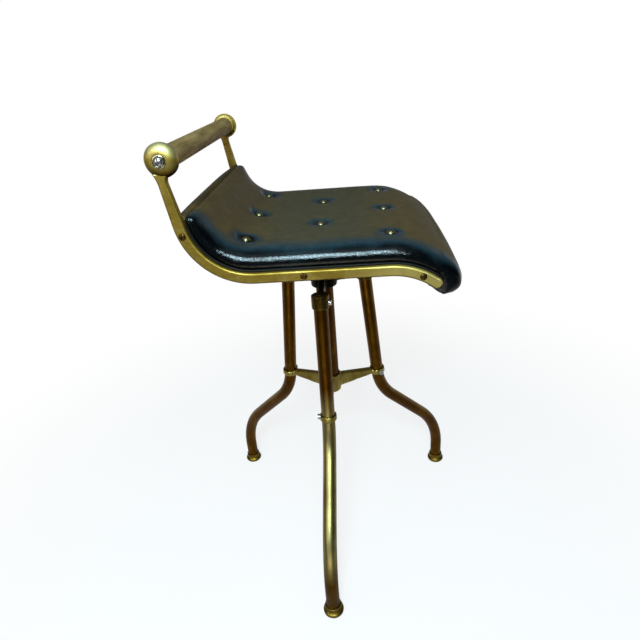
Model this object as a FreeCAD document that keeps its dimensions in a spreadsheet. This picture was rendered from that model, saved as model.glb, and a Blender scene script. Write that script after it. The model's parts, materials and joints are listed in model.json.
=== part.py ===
import FreeCAD, Part
import math
import os
import re
import Sketcher

# Musician's stool with a revolving rise-and-fall seat, in millimetres and degrees.
# +Z is up, the origin lies on the floor on the axis of the column, and the sitter faces -Y.

Vector = FreeCAD.Vector
doc = FreeCAD.newDocument("MusicianStool")
sheet = doc.addObject("Spreadsheet::Sheet", "Sizes")

# Driving dimensions: one cell of the sheet each
SIZES = {
    # Legs: a straight upper run, a knee, a sloping shin, an ankle and a vertical end
    "leg_outside": 22,
    "leg_wall": 1.5,
    "leg_tilt": 5.6,
    "first_leg_angle": 177.3,
    "clamp_height": 283,
    "clamp_reach": 94.2,
    "foot_reach": 237,
    "ankle_height": 103.5,
    "shin_slope": 45,
    "knee_bend": 110,
    "ankle_bend": 140,
    "leg_top_height": 488,
    "tube_fit": 0.1,
    # Feet
    "foot_overhang": 5.5,
    "foot_disc": 9,
    "foot_rim_round": 3,
    "foot_neck_wall": 2,
    "foot_neck_rise": 8,
    "foot_floor": 4,
    # Lower casting with three rings
    "ring_wall": 3,
    "ring_height": 10,
    "arm_width": 10,
    "lower_hub_wall": 2.5,
    "lower_hub_drop": 9,
    "lower_hub_rise": 25,
    "lower_hub_floor": 5,
    "hub_lip_width": 0.8,
    "hub_lip_height": 3,
    "lower_arm_set": 2,
    # Upper casting with three sockets
    "socket_wall": 2.5,
    "socket_depth": 17,
    "socket_roof": 5,
    "upper_hub_wall": 5,
    "upper_hub_drop": 10,
    "upper_hub_rise": 20,
    "column_seat": 8,
    "upper_arm_set": 3,
    "upper_arm_end": 15,
    # Screwed spindle, its nut, its guide and the column round it
    "thread_outside": 20,
    "thread_depth": 2,
    "thread_lead": 8,
    "thread_crest": 2.6,
    "thread_root": 3.8,
    "thread_room": 0.5,
    "nut_wall": 5.5,
    "nut_flange_width": 4,
    "nut_flange": 4,
    "spindle_room": 2,
    "column_wall": 2,
    "seat_gap": 28,
    "rise_left": 94,
    "journal": 12,
    "bush_height": 14,
    "slide_fit": 0.3,
    "end_washer_width": 4,
    "end_washer": 2,
    "end_screw": 6,
    "end_screw_head": 10,
    "end_screw_head_height": 4,
    "end_screw_length": 16,
    # Plate under the seat
    "plate_outside": 104,
    "plate": 6,
    "boss_wall": 9,
    "boss_length": 14,
    "pin": 5,
    "plate_screw": 4.4,
    "plate_screw_head": 9,
    "plate_screw_head_height": 3,
    "plate_screw_circle": 84,
    "plate_screw_bite": 8,
    # Line of the seat, seen from the side: front curve, flat, rear curve and leaning back
    "board_width": 346,
    "board": 12,
    "front_flat": 92,
    "front_bend": 91,
    "rear_flat": 75,
    "rear_bend": 83,
    "back_lean": 7.5,
    "board_sweep": 35,
    "back_rise": 3,
    # Side rails with their eyes
    "rail_depth": 14,
    "rail": 8,
    "rail_sweep": 39.5,
    "rail_tip_sweep": 150,
    "rail_edge_round": 2.5,
    "handle_rise": 74.8,
    "eye_set": 5,
    "eye_outside": 39,
    "eye_rim": 4,
    "eye_depth": 11,
    "eye_face": 18,
    "rear_neck_flare": 3,
    "front_neck_flare": 13,
    "neck_taper": 3,
    "neck_length": 14,
    "neck_drop": 12,
    # Hand bar
    "bar_outside": 26.5,
    "collar_outside": 34,
    "collar_step_width": 2,
    "collar": 6,
    "handle_washer": 16,
    "handle_washer_thick": 2,
    "handle_screw": 5,
    "handle_screw_head": 11,
    "handle_screw_dome": 3.5,
    "handle_screw_bite": 28,
    # Screws
    "screw_fit": 0.1,
    "slot_width": 1.2,
    "slot_depth": 1.2,
    "tube_screw": 5,
    "tube_screw_head": 9,
    "tube_screw_head_height": 5,
    "tube_screw_sink": 2,
    "tube_screw_bite": 2.5,
    "rail_screw": 4,
    "rail_screw_head": 9,
    "rail_screw_dome": 2,
    "rail_screw_bite": 18,
    "rear_screw_sweep": 73,
    "middle_screw_place": 13.8,
    "front_screw_sweep": 26,
    # Pad, its rear cover and its buttons
    "pad_gap": 0.3,
    "pad_inset": 1,
    "pad_bulge": 2.6,
    "pad_thickness": 29,
    "pad_crown": 3.5,
    "pad_shoulder": 13,
    "pad_shoulder_run": 18,
    "pad_back_thickness": 21.5,
    "pad_front_thickness": 25.5,
    "pad_edge_round": 12,
    "roll_under": 5,
    "roll_sweep": 58,
    "roll_round_sweep": 45,
    "roll_end_round": 8,
    "roll_bulge": 0.03,
    "rear_cover": 2.5,
    "rear_cover_sweep": 27,
    "rear_cover_top": 5,
    "rear_cover_fall": 5,
    "tuft_depth": 5,
    "tuft_floor": 13,
    "tuft_spread": 56,
    "button_rim": 11,
    "button_rim_height": 1.2,
    "button_dome": 8.4,
    "button_dome_height": 2,
    "button_shank": 2.4,
    "button_washer": 10,
    "button_washer_thick": 1,
    "button_tail": 2,
    "side_button_place": 120.7,
    "middle_button_place": 62,
    "rear_row_place": 100,
    "middle_row_place": -5.4,
    "front_row_place": -96.4,
}

for row, (alias, size) in enumerate(SIZES.items(), 1):
    sheet.set(f"A{row}", alias)
    sheet.set(f"B{row}", str(size))
    sheet.setAlias(f"B{row}", alias)
doc.recompute()

# Sizes worked out from the driving ones, as formulas
WORKED = {
    "leg_radius": "leg_outside / 2",
    "socket_bore": "leg_radius + tube_fit",
    "knee_height": "(foot_reach - clamp_reach + ankle_height * tan(shin_slope)"
                   " - clamp_height * tan(leg_tilt)) / (tan(shin_slope) - tan(leg_tilt))",
    "knee_reach": "clamp_reach + (clamp_height - knee_height) * tan(leg_tilt)",
    "knee_tangent": "knee_bend * tan((shin_slope - leg_tilt) / 2)",
    "ankle_tangent": "ankle_bend * tan(shin_slope / 2)",
    "leg_top_reach": "clamp_reach - (leg_top_height - clamp_height) * tan(leg_tilt)",
    "foot_radius": "leg_radius + foot_overhang",
    "foot_neck_radius": "socket_bore + foot_neck_wall",
    "foot_rim_limit": "min(foot_rim_round; foot_disc / 3)",
    "thread_radius": "thread_outside / 2",
    "core_radius": "thread_radius - thread_depth",
    "nut_radius": "thread_radius + thread_room + nut_wall",
    "column_bore": "thread_radius + spindle_room",
    "column_radius": "column_bore + column_wall",
    "ring_radius": "socket_bore + ring_wall",
    "socket_radius": "socket_bore + socket_wall",
    "lower_hub_radius": "column_radius + tube_fit + lower_hub_wall",
    "lower_hub_bottom": "clamp_height - lower_hub_drop",
    "lower_hub_top": "clamp_height + lower_hub_rise",
    "column_bottom": "lower_hub_bottom + lower_hub_floor",
    "upper_hub_radius": "nut_radius + tube_fit + upper_hub_wall",
    "upper_hub_bottom": "leg_top_height - upper_hub_drop",
    "upper_hub_top": "leg_top_height + upper_hub_rise",
    "column_top": "upper_hub_bottom + column_seat",
    "nut_top": "upper_hub_top + nut_flange",
    "boss_bottom": "nut_top + seat_gap",
    "plate_bottom": "boss_bottom + boss_length",
    "plate_top": "plate_bottom + plate",
    "thread_bottom": "column_top - rise_left",
    "journal_radius": "journal / 2",
    "journal_bottom": "thread_bottom - bush_height - 2 * slide_fit",
    "thread_start": "column_top - thread_lead * floor((column_top - thread_bottom) / thread_lead)",
    "boss_radius": "core_radius + tube_fit + boss_wall",
    "rail_height": "plate_top + board / 2",
    "board_half": "board_width / 2",
    "eye_radius": "eye_outside / 2",
    "eye_dome_round": "sqrt((eye_radius - eye_face / 2) ^ 2 + (eye_depth - eye_rim) ^ 2)",
    "rail_tip_round": "rail_depth / (2 * sin(rail_tip_sweep / 2))",
    "rail_edge_limit": "min(rail_edge_round; rail / 3)",
    "rear_neck_round": "(neck_length ^ 2 + rear_neck_flare ^ 2) / (2 * rear_neck_flare)",
    "front_neck_round": "(neck_length ^ 2 + front_neck_flare ^ 2) / (2 * front_neck_flare)",
    "bar_half": "board_half - collar",
    "pad_low": "board / 2 + pad_gap",
    "cover_low": "-board / 2 - rear_cover",
    "button_seat": "pad_low + pad_thickness - tuft_depth",
    "button_washer_seat": "board / 2 + pad_gap",
}
WORD = re.compile(r"[a-z_]+")


def bound(text):
    """Formula with every size's name turned into its cell of the sheet."""
    def cell(match):
        word = match.group(0)
        if word in WORKED:
            return "(" + bound(WORKED[word]) + ")"
        return "Sizes." + word if word in SIZES else word
    return WORD.sub(cell, text)


def value(text):
    return float(sheet.evalExpression(bound(text)))


# Placements as formulas: steps from the floor's origin inwards
def move(x="0", y="0", z="0"):
    return f"placement(vector({bound(x)}; {bound(y)}; {bound(z)}); rotation(vector(0; 0; 1); 0))"


def turn(axis, angle):
    x, y, z = (int(axis == name) for name in "xyz")
    return f"placement(vector(0; 0; 0); rotation(vector({x}; {y}; {z}); {bound(angle)}))"


def place(thing, *steps):
    if steps:
        thing.setExpression("Placement", " * ".join(steps))
    return thing


# Solids of the document, with their sizes bound to the sheet
def primitive(kind, name, sizes, *steps):
    thing = doc.addObject("Part::" + kind, name)
    for size, formula in sizes.items():
        thing.setExpression(size, bound(formula))
    return place(thing, *steps)


def cylinder(name, radius, height, *steps):
    return primitive("Cylinder", name, {"Radius": radius, "Height": height}, *steps)


def dome(name, radius, height, *steps):
    thing = primitive("Ellipsoid", name, {"Radius1": height, "Radius2": radius, "Radius3": radius}, *steps)
    thing.Angle1 = 0
    return thing


def fuse(name, things, *steps):
    thing = doc.addObject("Part::MultiFuse", name)
    thing.Shapes = things
    return place(thing, *steps)


def cut(name, base, tools, *steps):
    thing = doc.addObject("Part::Cut", name)
    thing.Base = base
    thing.Tool = tools[0] if len(tools) == 1 else fuse(name + "_tools", tools)
    return place(thing, *steps)


def group(name, things):
    thing = doc.addObject("Part::Compound", name)
    thing.Links = things
    return thing


NODES = []


def node(thing, label):
    thing.Label = label
    NODES.append(thing)
    return thing


# Bodies drawn as sketches
def new_body(name, *steps):
    return place(doc.addObject("PartDesign::Body", name), *steps)


def new_sketch(body, name, plane, offset=(None, None, None)):
    sketch = body.newObject("Sketcher::SketchObject", name)
    origin_plane = next(feature for feature in body.Origin.OriginFeatures if feature.Role == plane)
    sketch.AttachmentSupport = [(origin_plane, "")]
    sketch.MapMode = "FlatFace"
    for axis, formula in zip("xyz", offset):
        if formula:
            sketch.setExpression("AttachmentOffset.Base." + axis, bound(formula))
    return sketch


def pin_point(sketch, edge, end, x, y):
    """Holds one end of an edge at its place from the sketch's origin."""
    for kind, formula in (("DistanceX", x), ("DistanceY", y)):
        rule = sketch.addConstraint(Sketcher.Constraint(kind, -1, 1, edge, end, value(formula)))
        sketch.setExpression(f"Constraints[{rule}]", bound(formula))


def arc_between(start, end, radius, side):
    """Arc of under a half circle, and whether it runs from start to end."""
    across = end - start
    rise = math.sqrt(radius ** 2 - across.Length ** 2 / 4)
    to_left = Vector(-across.y, across.x, 0).normalize()
    centre = (start + end) * 0.5 + to_left * (rise if side == "left" else -rise)
    first, last = (start, end) if side == "left" else (end, start)
    angles = [math.atan2(point.y - centre.y, point.x - centre.x) for point in (first, last)]
    circle = Part.Circle(centre, Vector(0, 0, 1), radius)
    return Part.ArcOfCircle(circle, *angles)


def draw(sketch, outline, closed=True):
    """Lines and arcs through corners (x, y), or (x, y, radius, side) where an arc leads on."""
    count = len(outline)
    spots = [Vector(value(corner[0]), value(corner[1]), 0) for corner in outline]
    edges = []
    for index in range(count if closed else count - 1):
        corner = outline[index]
        start = spots[index]
        end = spots[(index + 1) % count]
        if len(corner) == 2:
            edge = sketch.addGeometry(Part.LineSegment(start, end), False)
            edges.append((edge, 1, 2))
        else:
            edge = sketch.addGeometry(arc_between(start, end, value(corner[2]), corner[3]), False)
            edges.append((edge, 1, 2) if corner[3] == "left" else (edge, 2, 1))
            rule = sketch.addConstraint(Sketcher.Constraint("Radius", edge, value(corner[2])))
            sketch.setExpression(f"Constraints[{rule}]", bound(corner[2]))
        pin_point(sketch, edge, edges[-1][1], corner[0], corner[1])
    for index, (edge, _, end) in enumerate(edges):
        if closed or index + 1 < len(edges):
            following, start, _ = edges[(index + 1) % len(edges)]
            sketch.addConstraint(Sketcher.Constraint("Coincident", edge, end, following, start))
    if not closed:
        pin_point(sketch, edges[-1][0], edges[-1][2], outline[-1][0], outline[-1][1])
    return sketch


def draw_circle(sketch, x, y, radius):
    spot = Vector(value(x), value(y), 0)
    edge = sketch.addGeometry(Part.Circle(spot, Vector(0, 0, 1), value(radius)), False)
    pin_point(sketch, edge, 3, x, y)
    rule = sketch.addConstraint(Sketcher.Constraint("Radius", edge, value(radius)))
    sketch.setExpression(f"Constraints[{rule}]", bound(radius))
    return sketch


def turned(name, outline, *steps):
    """Body turned round its own Z axis from an outline of (radius, height) corners."""
    body = new_body(name, *steps)
    sketch = draw(new_sketch(body, name + "_outline", "XZ_Plane"), outline)
    feature = body.newObject("PartDesign::Revolution", name + "_turning")
    feature.Profile = sketch
    feature.ReferenceAxis = (sketch, ["V_Axis"])
    return body


def padded(name, outline, start, width):
    """Body drawn in the side view and drawn out along X."""
    body = new_body(name)
    sketch = draw(new_sketch(body, name + "_outline", "YZ_Plane", (None, None, start)), outline)
    feature = body.newObject("PartDesign::Pad", name + "_width")
    feature.Profile = sketch
    feature.setExpression("Length", bound(width))
    return body


def screw(name, radius, length, head_radius, head_height, domed, *steps):
    """Slotted screw: the head stands on its own XY plane and the shank points down."""
    shape = dome if domed else cylinder
    head = shape(name + "_head", head_radius, head_height)
    shank = cylinder(name + "_shank", radius, length, move(z=f"-({length})"))
    slot = primitive("Box", name + "_slot", {"Length": f"2 * ({head_radius})", "Width": "slot_width",
                                             "Height": "slot_depth"},
                     move(f"-({head_radius})", "-slot_width / 2", f"{head_height} - slot_depth"))
    return cut(name, fuse(name + "_blank", [head, shank]), [slot], *steps)


# Legs, feet and the two castings, each drawn in a leg's own radial plane
LEGS = (1, 2, 3)


def to_leg(number):
    return turn("z", f"first_leg_angle + {120 * (number - 1)}")


def along_leg(number, reach, height):
    return to_leg(number), move(reach, "0", height), turn("y", "-leg_tilt")


def make_leg(number):
    name = f"bent_tube_{number}"
    body = new_body(name, to_leg(number))
    path = draw(new_sketch(body, name + "_path", "XZ_Plane"), [
        ("foot_reach", "foot_floor"),
        ("foot_reach", "ankle_height - ankle_tangent", "ankle_bend", "left"),
        ("foot_reach - ankle_tangent * sin(shin_slope)", "ankle_height + ankle_tangent * cos(shin_slope)"),
        ("knee_reach + knee_tangent * sin(shin_slope)", "knee_height - knee_tangent * cos(shin_slope)",
         "knee_bend", "right"),
        ("knee_reach - knee_tangent * sin(leg_tilt)", "knee_height + knee_tangent * cos(leg_tilt)"),
        ("leg_top_reach", "leg_top_height"),
    ], closed=False)
    ring = new_sketch(body, name + "_ring", "XY_Plane", (None, None, "foot_floor"))
    draw_circle(ring, "foot_reach", "0", "leg_radius")
    draw_circle(ring, "foot_reach", "0", "leg_radius - leg_wall")
    doc.recompute()
    tube = body.newObject("PartDesign::AdditivePipe", name + "_tube")
    tube.Profile = ring
    tube.Spine = (path, [f"Edge{index}" for index in range(1, 6)])
    holes = [tube_screw_room(f"{name}_{place_name}_hole", number, place_name) for place_name in TUBE_SCREWS]
    node(cut(name + "_drilled", body, holes), f"leg_{number}")


def make_foot(number):
    outline = [
        ("0", "0"),
        ("foot_radius - foot_rim_limit", "0", "foot_rim_limit", "left"),
        ("foot_radius", "foot_rim_limit"),
        ("foot_radius", "foot_disc - foot_rim_limit", "foot_rim_limit", "left"),
        ("foot_radius - foot_rim_limit", "foot_disc"),
        ("foot_neck_radius", "foot_disc"),
        ("foot_neck_radius", "foot_disc + foot_neck_rise"),
        ("socket_bore", "foot_disc + foot_neck_rise"),
        ("socket_bore", "foot_floor"),
        ("0", "foot_floor"),
    ]
    node(turned(f"foot_{number}_turned", outline, to_leg(number), move("foot_reach")), f"foot_{number}")


# Screws through the castings into the leg tubes: reach, height and side of the tube
TUBE_SCREWS = {
    "socket": ("leg_top_reach + socket_depth / 2 * sin(leg_tilt)",
               "leg_top_height - socket_depth / 2 * cos(leg_tilt)", "socket_radius", "-90"),
    "clamp": ("clamp_reach", "clamp_height", "ring_radius", "90"),
}


def tube_screw_steps(number, place_name):
    reach, height, start, side = TUBE_SCREWS[place_name]
    return (*along_leg(number, reach, height), turn("x", side), move(z=f"{start} - tube_screw_sink"))


def tube_screw_room(name, number, place_name):
    length = TUBE_SCREWS[place_name][2]
    return cylinder(name, "tube_screw / 2 + screw_fit", length, *tube_screw_steps(number, place_name),
                    move(z=f"-({length}) + tube_screw_sink"))


def make_tube_screws():
    for place_name, (_, _, start, _) in TUBE_SCREWS.items():
        length = f"{start} - tube_screw_sink - leg_radius + leg_wall + tube_screw_bite"
        screws = []
        for number in LEGS:
            screws.append(screw(f"{place_name}_screw_{number}", "tube_screw / 2", length,
                                "tube_screw_head / 2", "tube_screw_head_height", False,
                                *tube_screw_steps(number, place_name)))
        node(group(f"{place_name}_screw_set", screws), f"{place_name}_screws")


def make_lower_casting():
    hub = turned("lower_hub", [
        ("0", "lower_hub_bottom"),
        ("lower_hub_radius", "lower_hub_bottom"),
        ("lower_hub_radius", "lower_hub_top - hub_lip_height"),
        ("lower_hub_radius + hub_lip_width", "lower_hub_top - hub_lip_height"),
        ("lower_hub_radius + hub_lip_width", "lower_hub_top"),
        ("0", "lower_hub_top"),
    ])
    solids = [hub]
    rooms = [cylinder("lower_column_room", "column_radius + tube_fit", "lower_hub_top",
                      move(z="column_bottom"))]
    for number in LEGS:
        spot = along_leg(number, "clamp_reach", "clamp_height")
        solids.append(cylinder(f"ring_{number}", "ring_radius", "ring_height", *spot,
                               move(z="-ring_height / 2")))
        solids.append(primitive("Wedge", f"lower_arm_{number}", {
            "Xmin": "-arm_width / 2", "Xmax": "arm_width / 2",
            "X2min": "-arm_width / 2", "X2max": "arm_width / 2",
            "Ymin": "column_radius", "Ymax": "clamp_reach",
            "Zmin": "lower_hub_bottom + lower_arm_set",
            "Zmax": "lower_hub_top - hub_lip_height - lower_arm_set",
            "Z2min": "clamp_height - ring_height / 2 + lower_arm_set / 2",
            "Z2max": "clamp_height + ring_height / 2 - lower_arm_set / 2",
        }, to_leg(number), turn("z", "-90")))
        rooms.append(cylinder(f"ring_room_{number}", "socket_bore", "2 * ring_height", *spot,
                              move(z="-ring_height")))
        rooms.append(tube_screw_room(f"ring_screw_room_{number}", number, "clamp"))
        rooms.append(cylinder(f"ring_screw_seat_{number}", "tube_screw_head / 2 + screw_fit", "ring_height",
                              *tube_screw_steps(number, "clamp")))
    node(cut("lower_casting", fuse("lower_casting_blank", solids), rooms), "lower_spider")


def make_upper_casting():
    solids = [cylinder("upper_hub", "upper_hub_radius", "upper_hub_top - upper_hub_bottom",
                       move(z="upper_hub_bottom"))]
    rooms = [
        cylinder("upper_column_room", "column_radius + tube_fit", "2 * column_seat",
                 move(z="column_top - 2 * column_seat")),
        cylinder("nut_room", "nut_radius + tube_fit", "upper_hub_top - column_top + column_seat",
                 move(z="column_top")),
    ]
    for number in LEGS:
        spot = along_leg(number, "leg_top_reach", "leg_top_height")
        solids.append(cylinder(f"socket_{number}", "socket_radius", "socket_depth + socket_roof", *spot,
                               move(z="-socket_depth")))
        solids.append(primitive("Wedge", f"upper_arm_{number}", {
            "Xmin": "-arm_width / 2", "Xmax": "arm_width / 2",
            "X2min": "-arm_width / 2", "X2max": "arm_width / 2",
            "Ymin": "nut_radius + upper_hub_wall / 2", "Ymax": "leg_top_reach",
            "Zmin": "upper_hub_bottom + upper_arm_set", "Zmax": "upper_hub_top - upper_arm_set",
            "Z2min": "leg_top_height + socket_roof - upper_arm_set - upper_arm_end",
            "Z2max": "leg_top_height + socket_roof - upper_arm_set",
        }, to_leg(number), turn("z", "-90")))
        rooms.append(cylinder(f"socket_room_{number}", "socket_bore", "2 * socket_depth", *spot,
                              move(z="-2 * socket_depth")))
        rooms.append(tube_screw_room(f"socket_screw_room_{number}", number, "socket"))
        rooms.append(cylinder(f"socket_screw_seat_{number}", "tube_screw_head / 2 + screw_fit",
                              "socket_depth", *tube_screw_steps(number, "socket")))
    node(cut("upper_casting", fuse("upper_casting_blank", solids), rooms), "upper_spider")


# Column, nut, spindle and guide
def thread(body, name, kind, inner, outer, root, crest, start, height):
    """Helical ridge or groove of trapezoid section, from one radius to another."""
    section = draw(new_sketch(body, name + "_section", "XZ_Plane"), [
        (inner, f"{start} - ({root}) / 2"),
        (outer, f"{start} - ({crest}) / 2"),
        (outer, f"{start} + ({crest}) / 2"),
        (inner, f"{start} + ({root}) / 2"),
    ])
    doc.recompute()
    feature = body.newObject("PartDesign::" + kind, name)
    feature.Profile = section
    feature.ReferenceAxis = (section, ["V_Axis"])
    feature.Mode = "pitch-height-angle"
    feature.Angle = 0
    feature.setExpression("Pitch", bound("thread_lead"))
    feature.setExpression("Height", bound(height))


def make_column():
    rod, hollow = (cylinder(f"column_{name}", radius, "column_top - column_bottom", move(z="column_bottom"))
                   for name, radius in (("rod", "column_radius"), ("hollow", "column_bore")))
    node(cut("column", rod, [hollow]), "column_tube")
    nut = turned("nut", [
        ("core_radius + thread_room", "column_top"),
        ("nut_radius", "column_top"),
        ("nut_radius", "upper_hub_top"),
        ("nut_radius + nut_flange_width", "upper_hub_top"),
        ("nut_radius + nut_flange_width", "nut_top"),
        ("core_radius + thread_room", "nut_top"),
    ])
    thread(nut, "nut_thread", "SubtractiveHelix", "core_radius - thread_room", "thread_radius + thread_room",
           "thread_root + 3 * thread_room", "thread_crest + 2 * thread_room",
           "column_top - 1.5 * thread_lead", "nut_top - column_top + 3 * thread_lead")
    node(nut, "spindle_nut")


def make_spindle():
    spindle = turned("spindle_rod", [
        ("0", "journal_bottom + end_screw_length"),
        ("end_screw / 2 + screw_fit", "journal_bottom + end_screw_length"),
        ("end_screw / 2 + screw_fit", "journal_bottom"),
        ("journal_radius", "journal_bottom"),
        ("journal_radius", "thread_bottom"),
        ("core_radius", "thread_bottom"),
        ("core_radius", "plate_top - pad_gap"),
        ("0", "plate_top - pad_gap"),
    ])
    thread(spindle, "spindle_thread", "AdditiveHelix", "core_radius - thread_depth / 2", "thread_radius",
           "thread_root + (thread_root - thread_crest) / 2", "thread_crest",
           "thread_start + thread_lead / 2", "boss_bottom - thread_start - 1.5 * thread_lead")
    node(cut("spindle_drilled", spindle, [pin_rod("spindle_pin_room", "screw_fit")]), "spindle")
    rod = cylinder("bush_rod", "column_bore - slide_fit", "bush_height", move(z="journal_bottom + slide_fit"))
    hollow = cylinder("bush_hollow", "journal_radius + slide_fit", "2 * bush_height", move(z="journal_bottom"))
    node(cut("bush", rod, [hollow]), "guide_bush")
    disc = cylinder("end_washer_disc", "journal_radius + end_washer_width", "end_washer",
                    move(z="journal_bottom - end_washer"))
    hole = cylinder("end_washer_hole", "end_screw / 2 + screw_fit", "2 * end_washer",
                    move(z="journal_bottom - 1.5 * end_washer"))
    node(cut("end_washer_ring", disc, [hole]), "spindle_end_washer")
    node(screw("end_screw_slotted", "end_screw / 2", "end_screw_length + end_washer - pad_gap",
               "end_screw_head / 2", "end_screw_head_height", False,
               move(z="journal_bottom - end_washer"), turn("x", "180")), "spindle_end_screw")


def pin_rod(name, room):
    """Cross pin through the boss and the spindle, along X."""
    return cylinder(name, f"pin / 2 + {room}", "2 * boss_radius",
                    move("-boss_radius", "0", "boss_bottom + boss_length / 2"), turn("y", "90"))


# Plate under the seat
CORNERS = (45, 135, 225, 315)


def plate_screw_steps(corner):
    return turn("z", f"{corner}"), move("plate_screw_circle / 2", "0", "plate_bottom"), turn("x", "180")


def plate_screw_room(name, corner):
    return cylinder(name, "plate_screw / 2 + screw_fit", "plate + plate_screw_bite + pad_gap",
                    *plate_screw_steps(corner), move(z="-plate - plate_screw_bite - pad_gap"))


def make_plate():
    plate = turned("plate_turned", [
        ("core_radius + tube_fit", "boss_bottom"),
        ("boss_radius", "boss_bottom"),
        ("boss_radius", "plate_bottom"),
        ("plate_outside / 2", "plate_bottom"),
        ("plate_outside / 2", "plate_top"),
        ("core_radius + tube_fit", "plate_top"),
    ])
    rooms = [plate_screw_room(f"plate_hole_{corner}", corner) for corner in CORNERS]
    rooms.append(pin_rod("boss_pin_room", "screw_fit"))
    node(cut("plate_drilled", plate, rooms), "seat_plate")
    node(pin_rod("pin_rod", "0"), "spindle_pin")
    screws = [screw(f"plate_screw_{corner}", "plate_screw / 2", "plate + plate_screw_bite",
                    "plate_screw_head / 2", "plate_screw_head_height", False, *plate_screw_steps(corner))
              for corner in CORNERS]
    node(group("plate_screw_set", screws), "plate_screws")


# Line of the seat in the side view: places at an offset from it, towards the sitter where positive
def front_spot(sweep, offset):
    return (f"-front_flat - (front_bend + {offset}) * sin({sweep})",
            f"rail_height - front_bend + (front_bend + {offset}) * cos({sweep})")


def flat_spot(y, offset):
    return y, f"rail_height + {offset}"


def rear_spot(sweep, offset):
    return (f"rear_flat + (rear_bend - ({offset})) * sin({sweep})",
            f"rail_height + rear_bend - (rear_bend - ({offset})) * cos({sweep})")


def back_spot(rise, offset):
    bend = f"(rear_bend - ({offset}))"
    return (f"rear_flat + {bend} * cos(back_lean) + ({rise}) * sin(back_lean)",
            f"rail_height + rear_bend - {bend} * sin(back_lean) + ({rise}) * cos(back_lean)")


def lower_side(sweep, offset):
    """Corners from the front tip along the underside to the start of the leaning back."""
    return [
        (*front_spot(sweep, offset), f"front_bend + {offset}", "right"),
        flat_spot("-front_flat", offset),
        (*flat_spot("rear_flat", offset), f"rear_bend - ({offset})", "left"),
        back_spot("0", offset),
    ]


def upper_side(sweep, offset):
    """Corners from the leaning back along the sitter's side to the front tip."""
    return [
        (*back_spot("0", offset), f"rear_bend - ({offset})", "right"),
        flat_spot("rear_flat", offset),
        (*flat_spot("-front_flat", offset), f"front_bend + {offset}", "left"),
        front_spot(sweep, offset),
    ]


# Side rails and hand bar
SIDES = {"left": "1", "right": "-1"}
RAIL_SCREWS = {
    "rear": rear_spot("rear_screw_sweep", "0"),
    "middle": flat_spot("middle_screw_place", "0"),
    "front": front_spot("front_screw_sweep", "0"),
}


def outwards(side, start):
    """Steps to a spot at a distance from the middle, with Z turned outwards."""
    return move(f"({SIDES[side]}) * ({start})"), turn("y", f"({SIDES[side]}) * 90")


def rail_screw_steps(side, name):
    y, z = RAIL_SCREWS[name]
    return (move("0", y, z), *outwards(side, "board_half + rail"))


def rail_screw_room(name, side, screw_name):
    length = "rail + rail_screw_bite + pad_gap"
    return cylinder(name, "rail_screw / 2 + screw_fit", length, *rail_screw_steps(side, screw_name),
                    move(z=f"-({length})"))


def to_handle(side, start):
    y, z = back_spot("handle_rise", "eye_set")
    return (move("0", y, z), *outwards(side, start))


def outer_face(feature):
    """Name of the flat face that looks away from the middle on the sitter's right."""
    faces = feature.Shape.Faces
    best = min(range(len(faces)), key=lambda index: faces[index].CenterOfMass.x)
    return f"Face{best + 1}"


def make_rails():
    """Right rail with its eye, and the left one as its mirror image."""
    half = "rail_depth / 2"
    neck_foot = "handle_rise - neck_drop - neck_length"
    neck_head = "handle_rise - neck_drop"
    neck = [
        (*back_spot(neck_foot, f"-{half}"), "rear_neck_round", "right"),
        back_spot(neck_head, f"-{half} - rear_neck_flare"),
        (*back_spot(neck_head, f"{half} - neck_taper + front_neck_flare"), "front_neck_round", "right"),
        back_spot(neck_foot, f"{half} - neck_taper"),
    ]
    sitter_side = upper_side("rail_sweep", half)
    sitter_side[-1] = (*sitter_side[-1], "rail_tip_round", "left")
    outline = lower_side("rail_sweep", f"-{half}") + neck + sitter_side
    body = padded("rail_strip", outline, "-board_half - rail", "rail")
    doc.recompute()
    strip = body.Tip
    rounding = body.newObject("PartDesign::Fillet", "rail_rounding")
    rounding.Base = (strip, [outer_face(strip)])
    rounding.setExpression("Radius", bound("rail_edge_limit"))
    eye = turned("rail_eye", [
        ("0", "0"),
        ("eye_radius", "0"),
        ("eye_radius", "eye_rim", "eye_dome_round", "left"),
        ("eye_face / 2", "eye_depth"),
        ("0", "eye_depth"),
    ], *to_handle("right", "board_half"))
    rooms = [rail_screw_room(f"rail_{name}_hole", "right", name) for name in RAIL_SCREWS]
    rooms.append(cylinder("rail_eye_hole", "handle_screw / 2 + screw_fit", "2 * eye_depth",
                          *to_handle("right", "board_half - eye_depth / 2")))
    right = cut("right_rail", fuse("rail_blank", [body, eye]), rooms)
    left = doc.addObject("Part::Mirroring", "left_rail")
    left.Source = right
    left.Normal = (1, 0, 0)
    node(right, "side_rail_right")
    node(left, "side_rail_left")


def make_rail_screws():
    screws = []
    for side in SIDES:
        for name in RAIL_SCREWS:
            screws.append(screw(f"{side}_{name}_rail_screw", "rail_screw / 2", "rail + rail_screw_bite",
                                "rail_screw_head / 2", "rail_screw_dome", True,
                                *rail_screw_steps(side, name)))
    node(group("rail_screw_set", screws), "rail_screws")


def handle_screw_room(name, side):
    return cylinder(name, "handle_screw / 2 + screw_fit", "board_half",
                    *to_handle(side, "bar_half - handle_screw_bite - pad_gap"))


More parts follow.
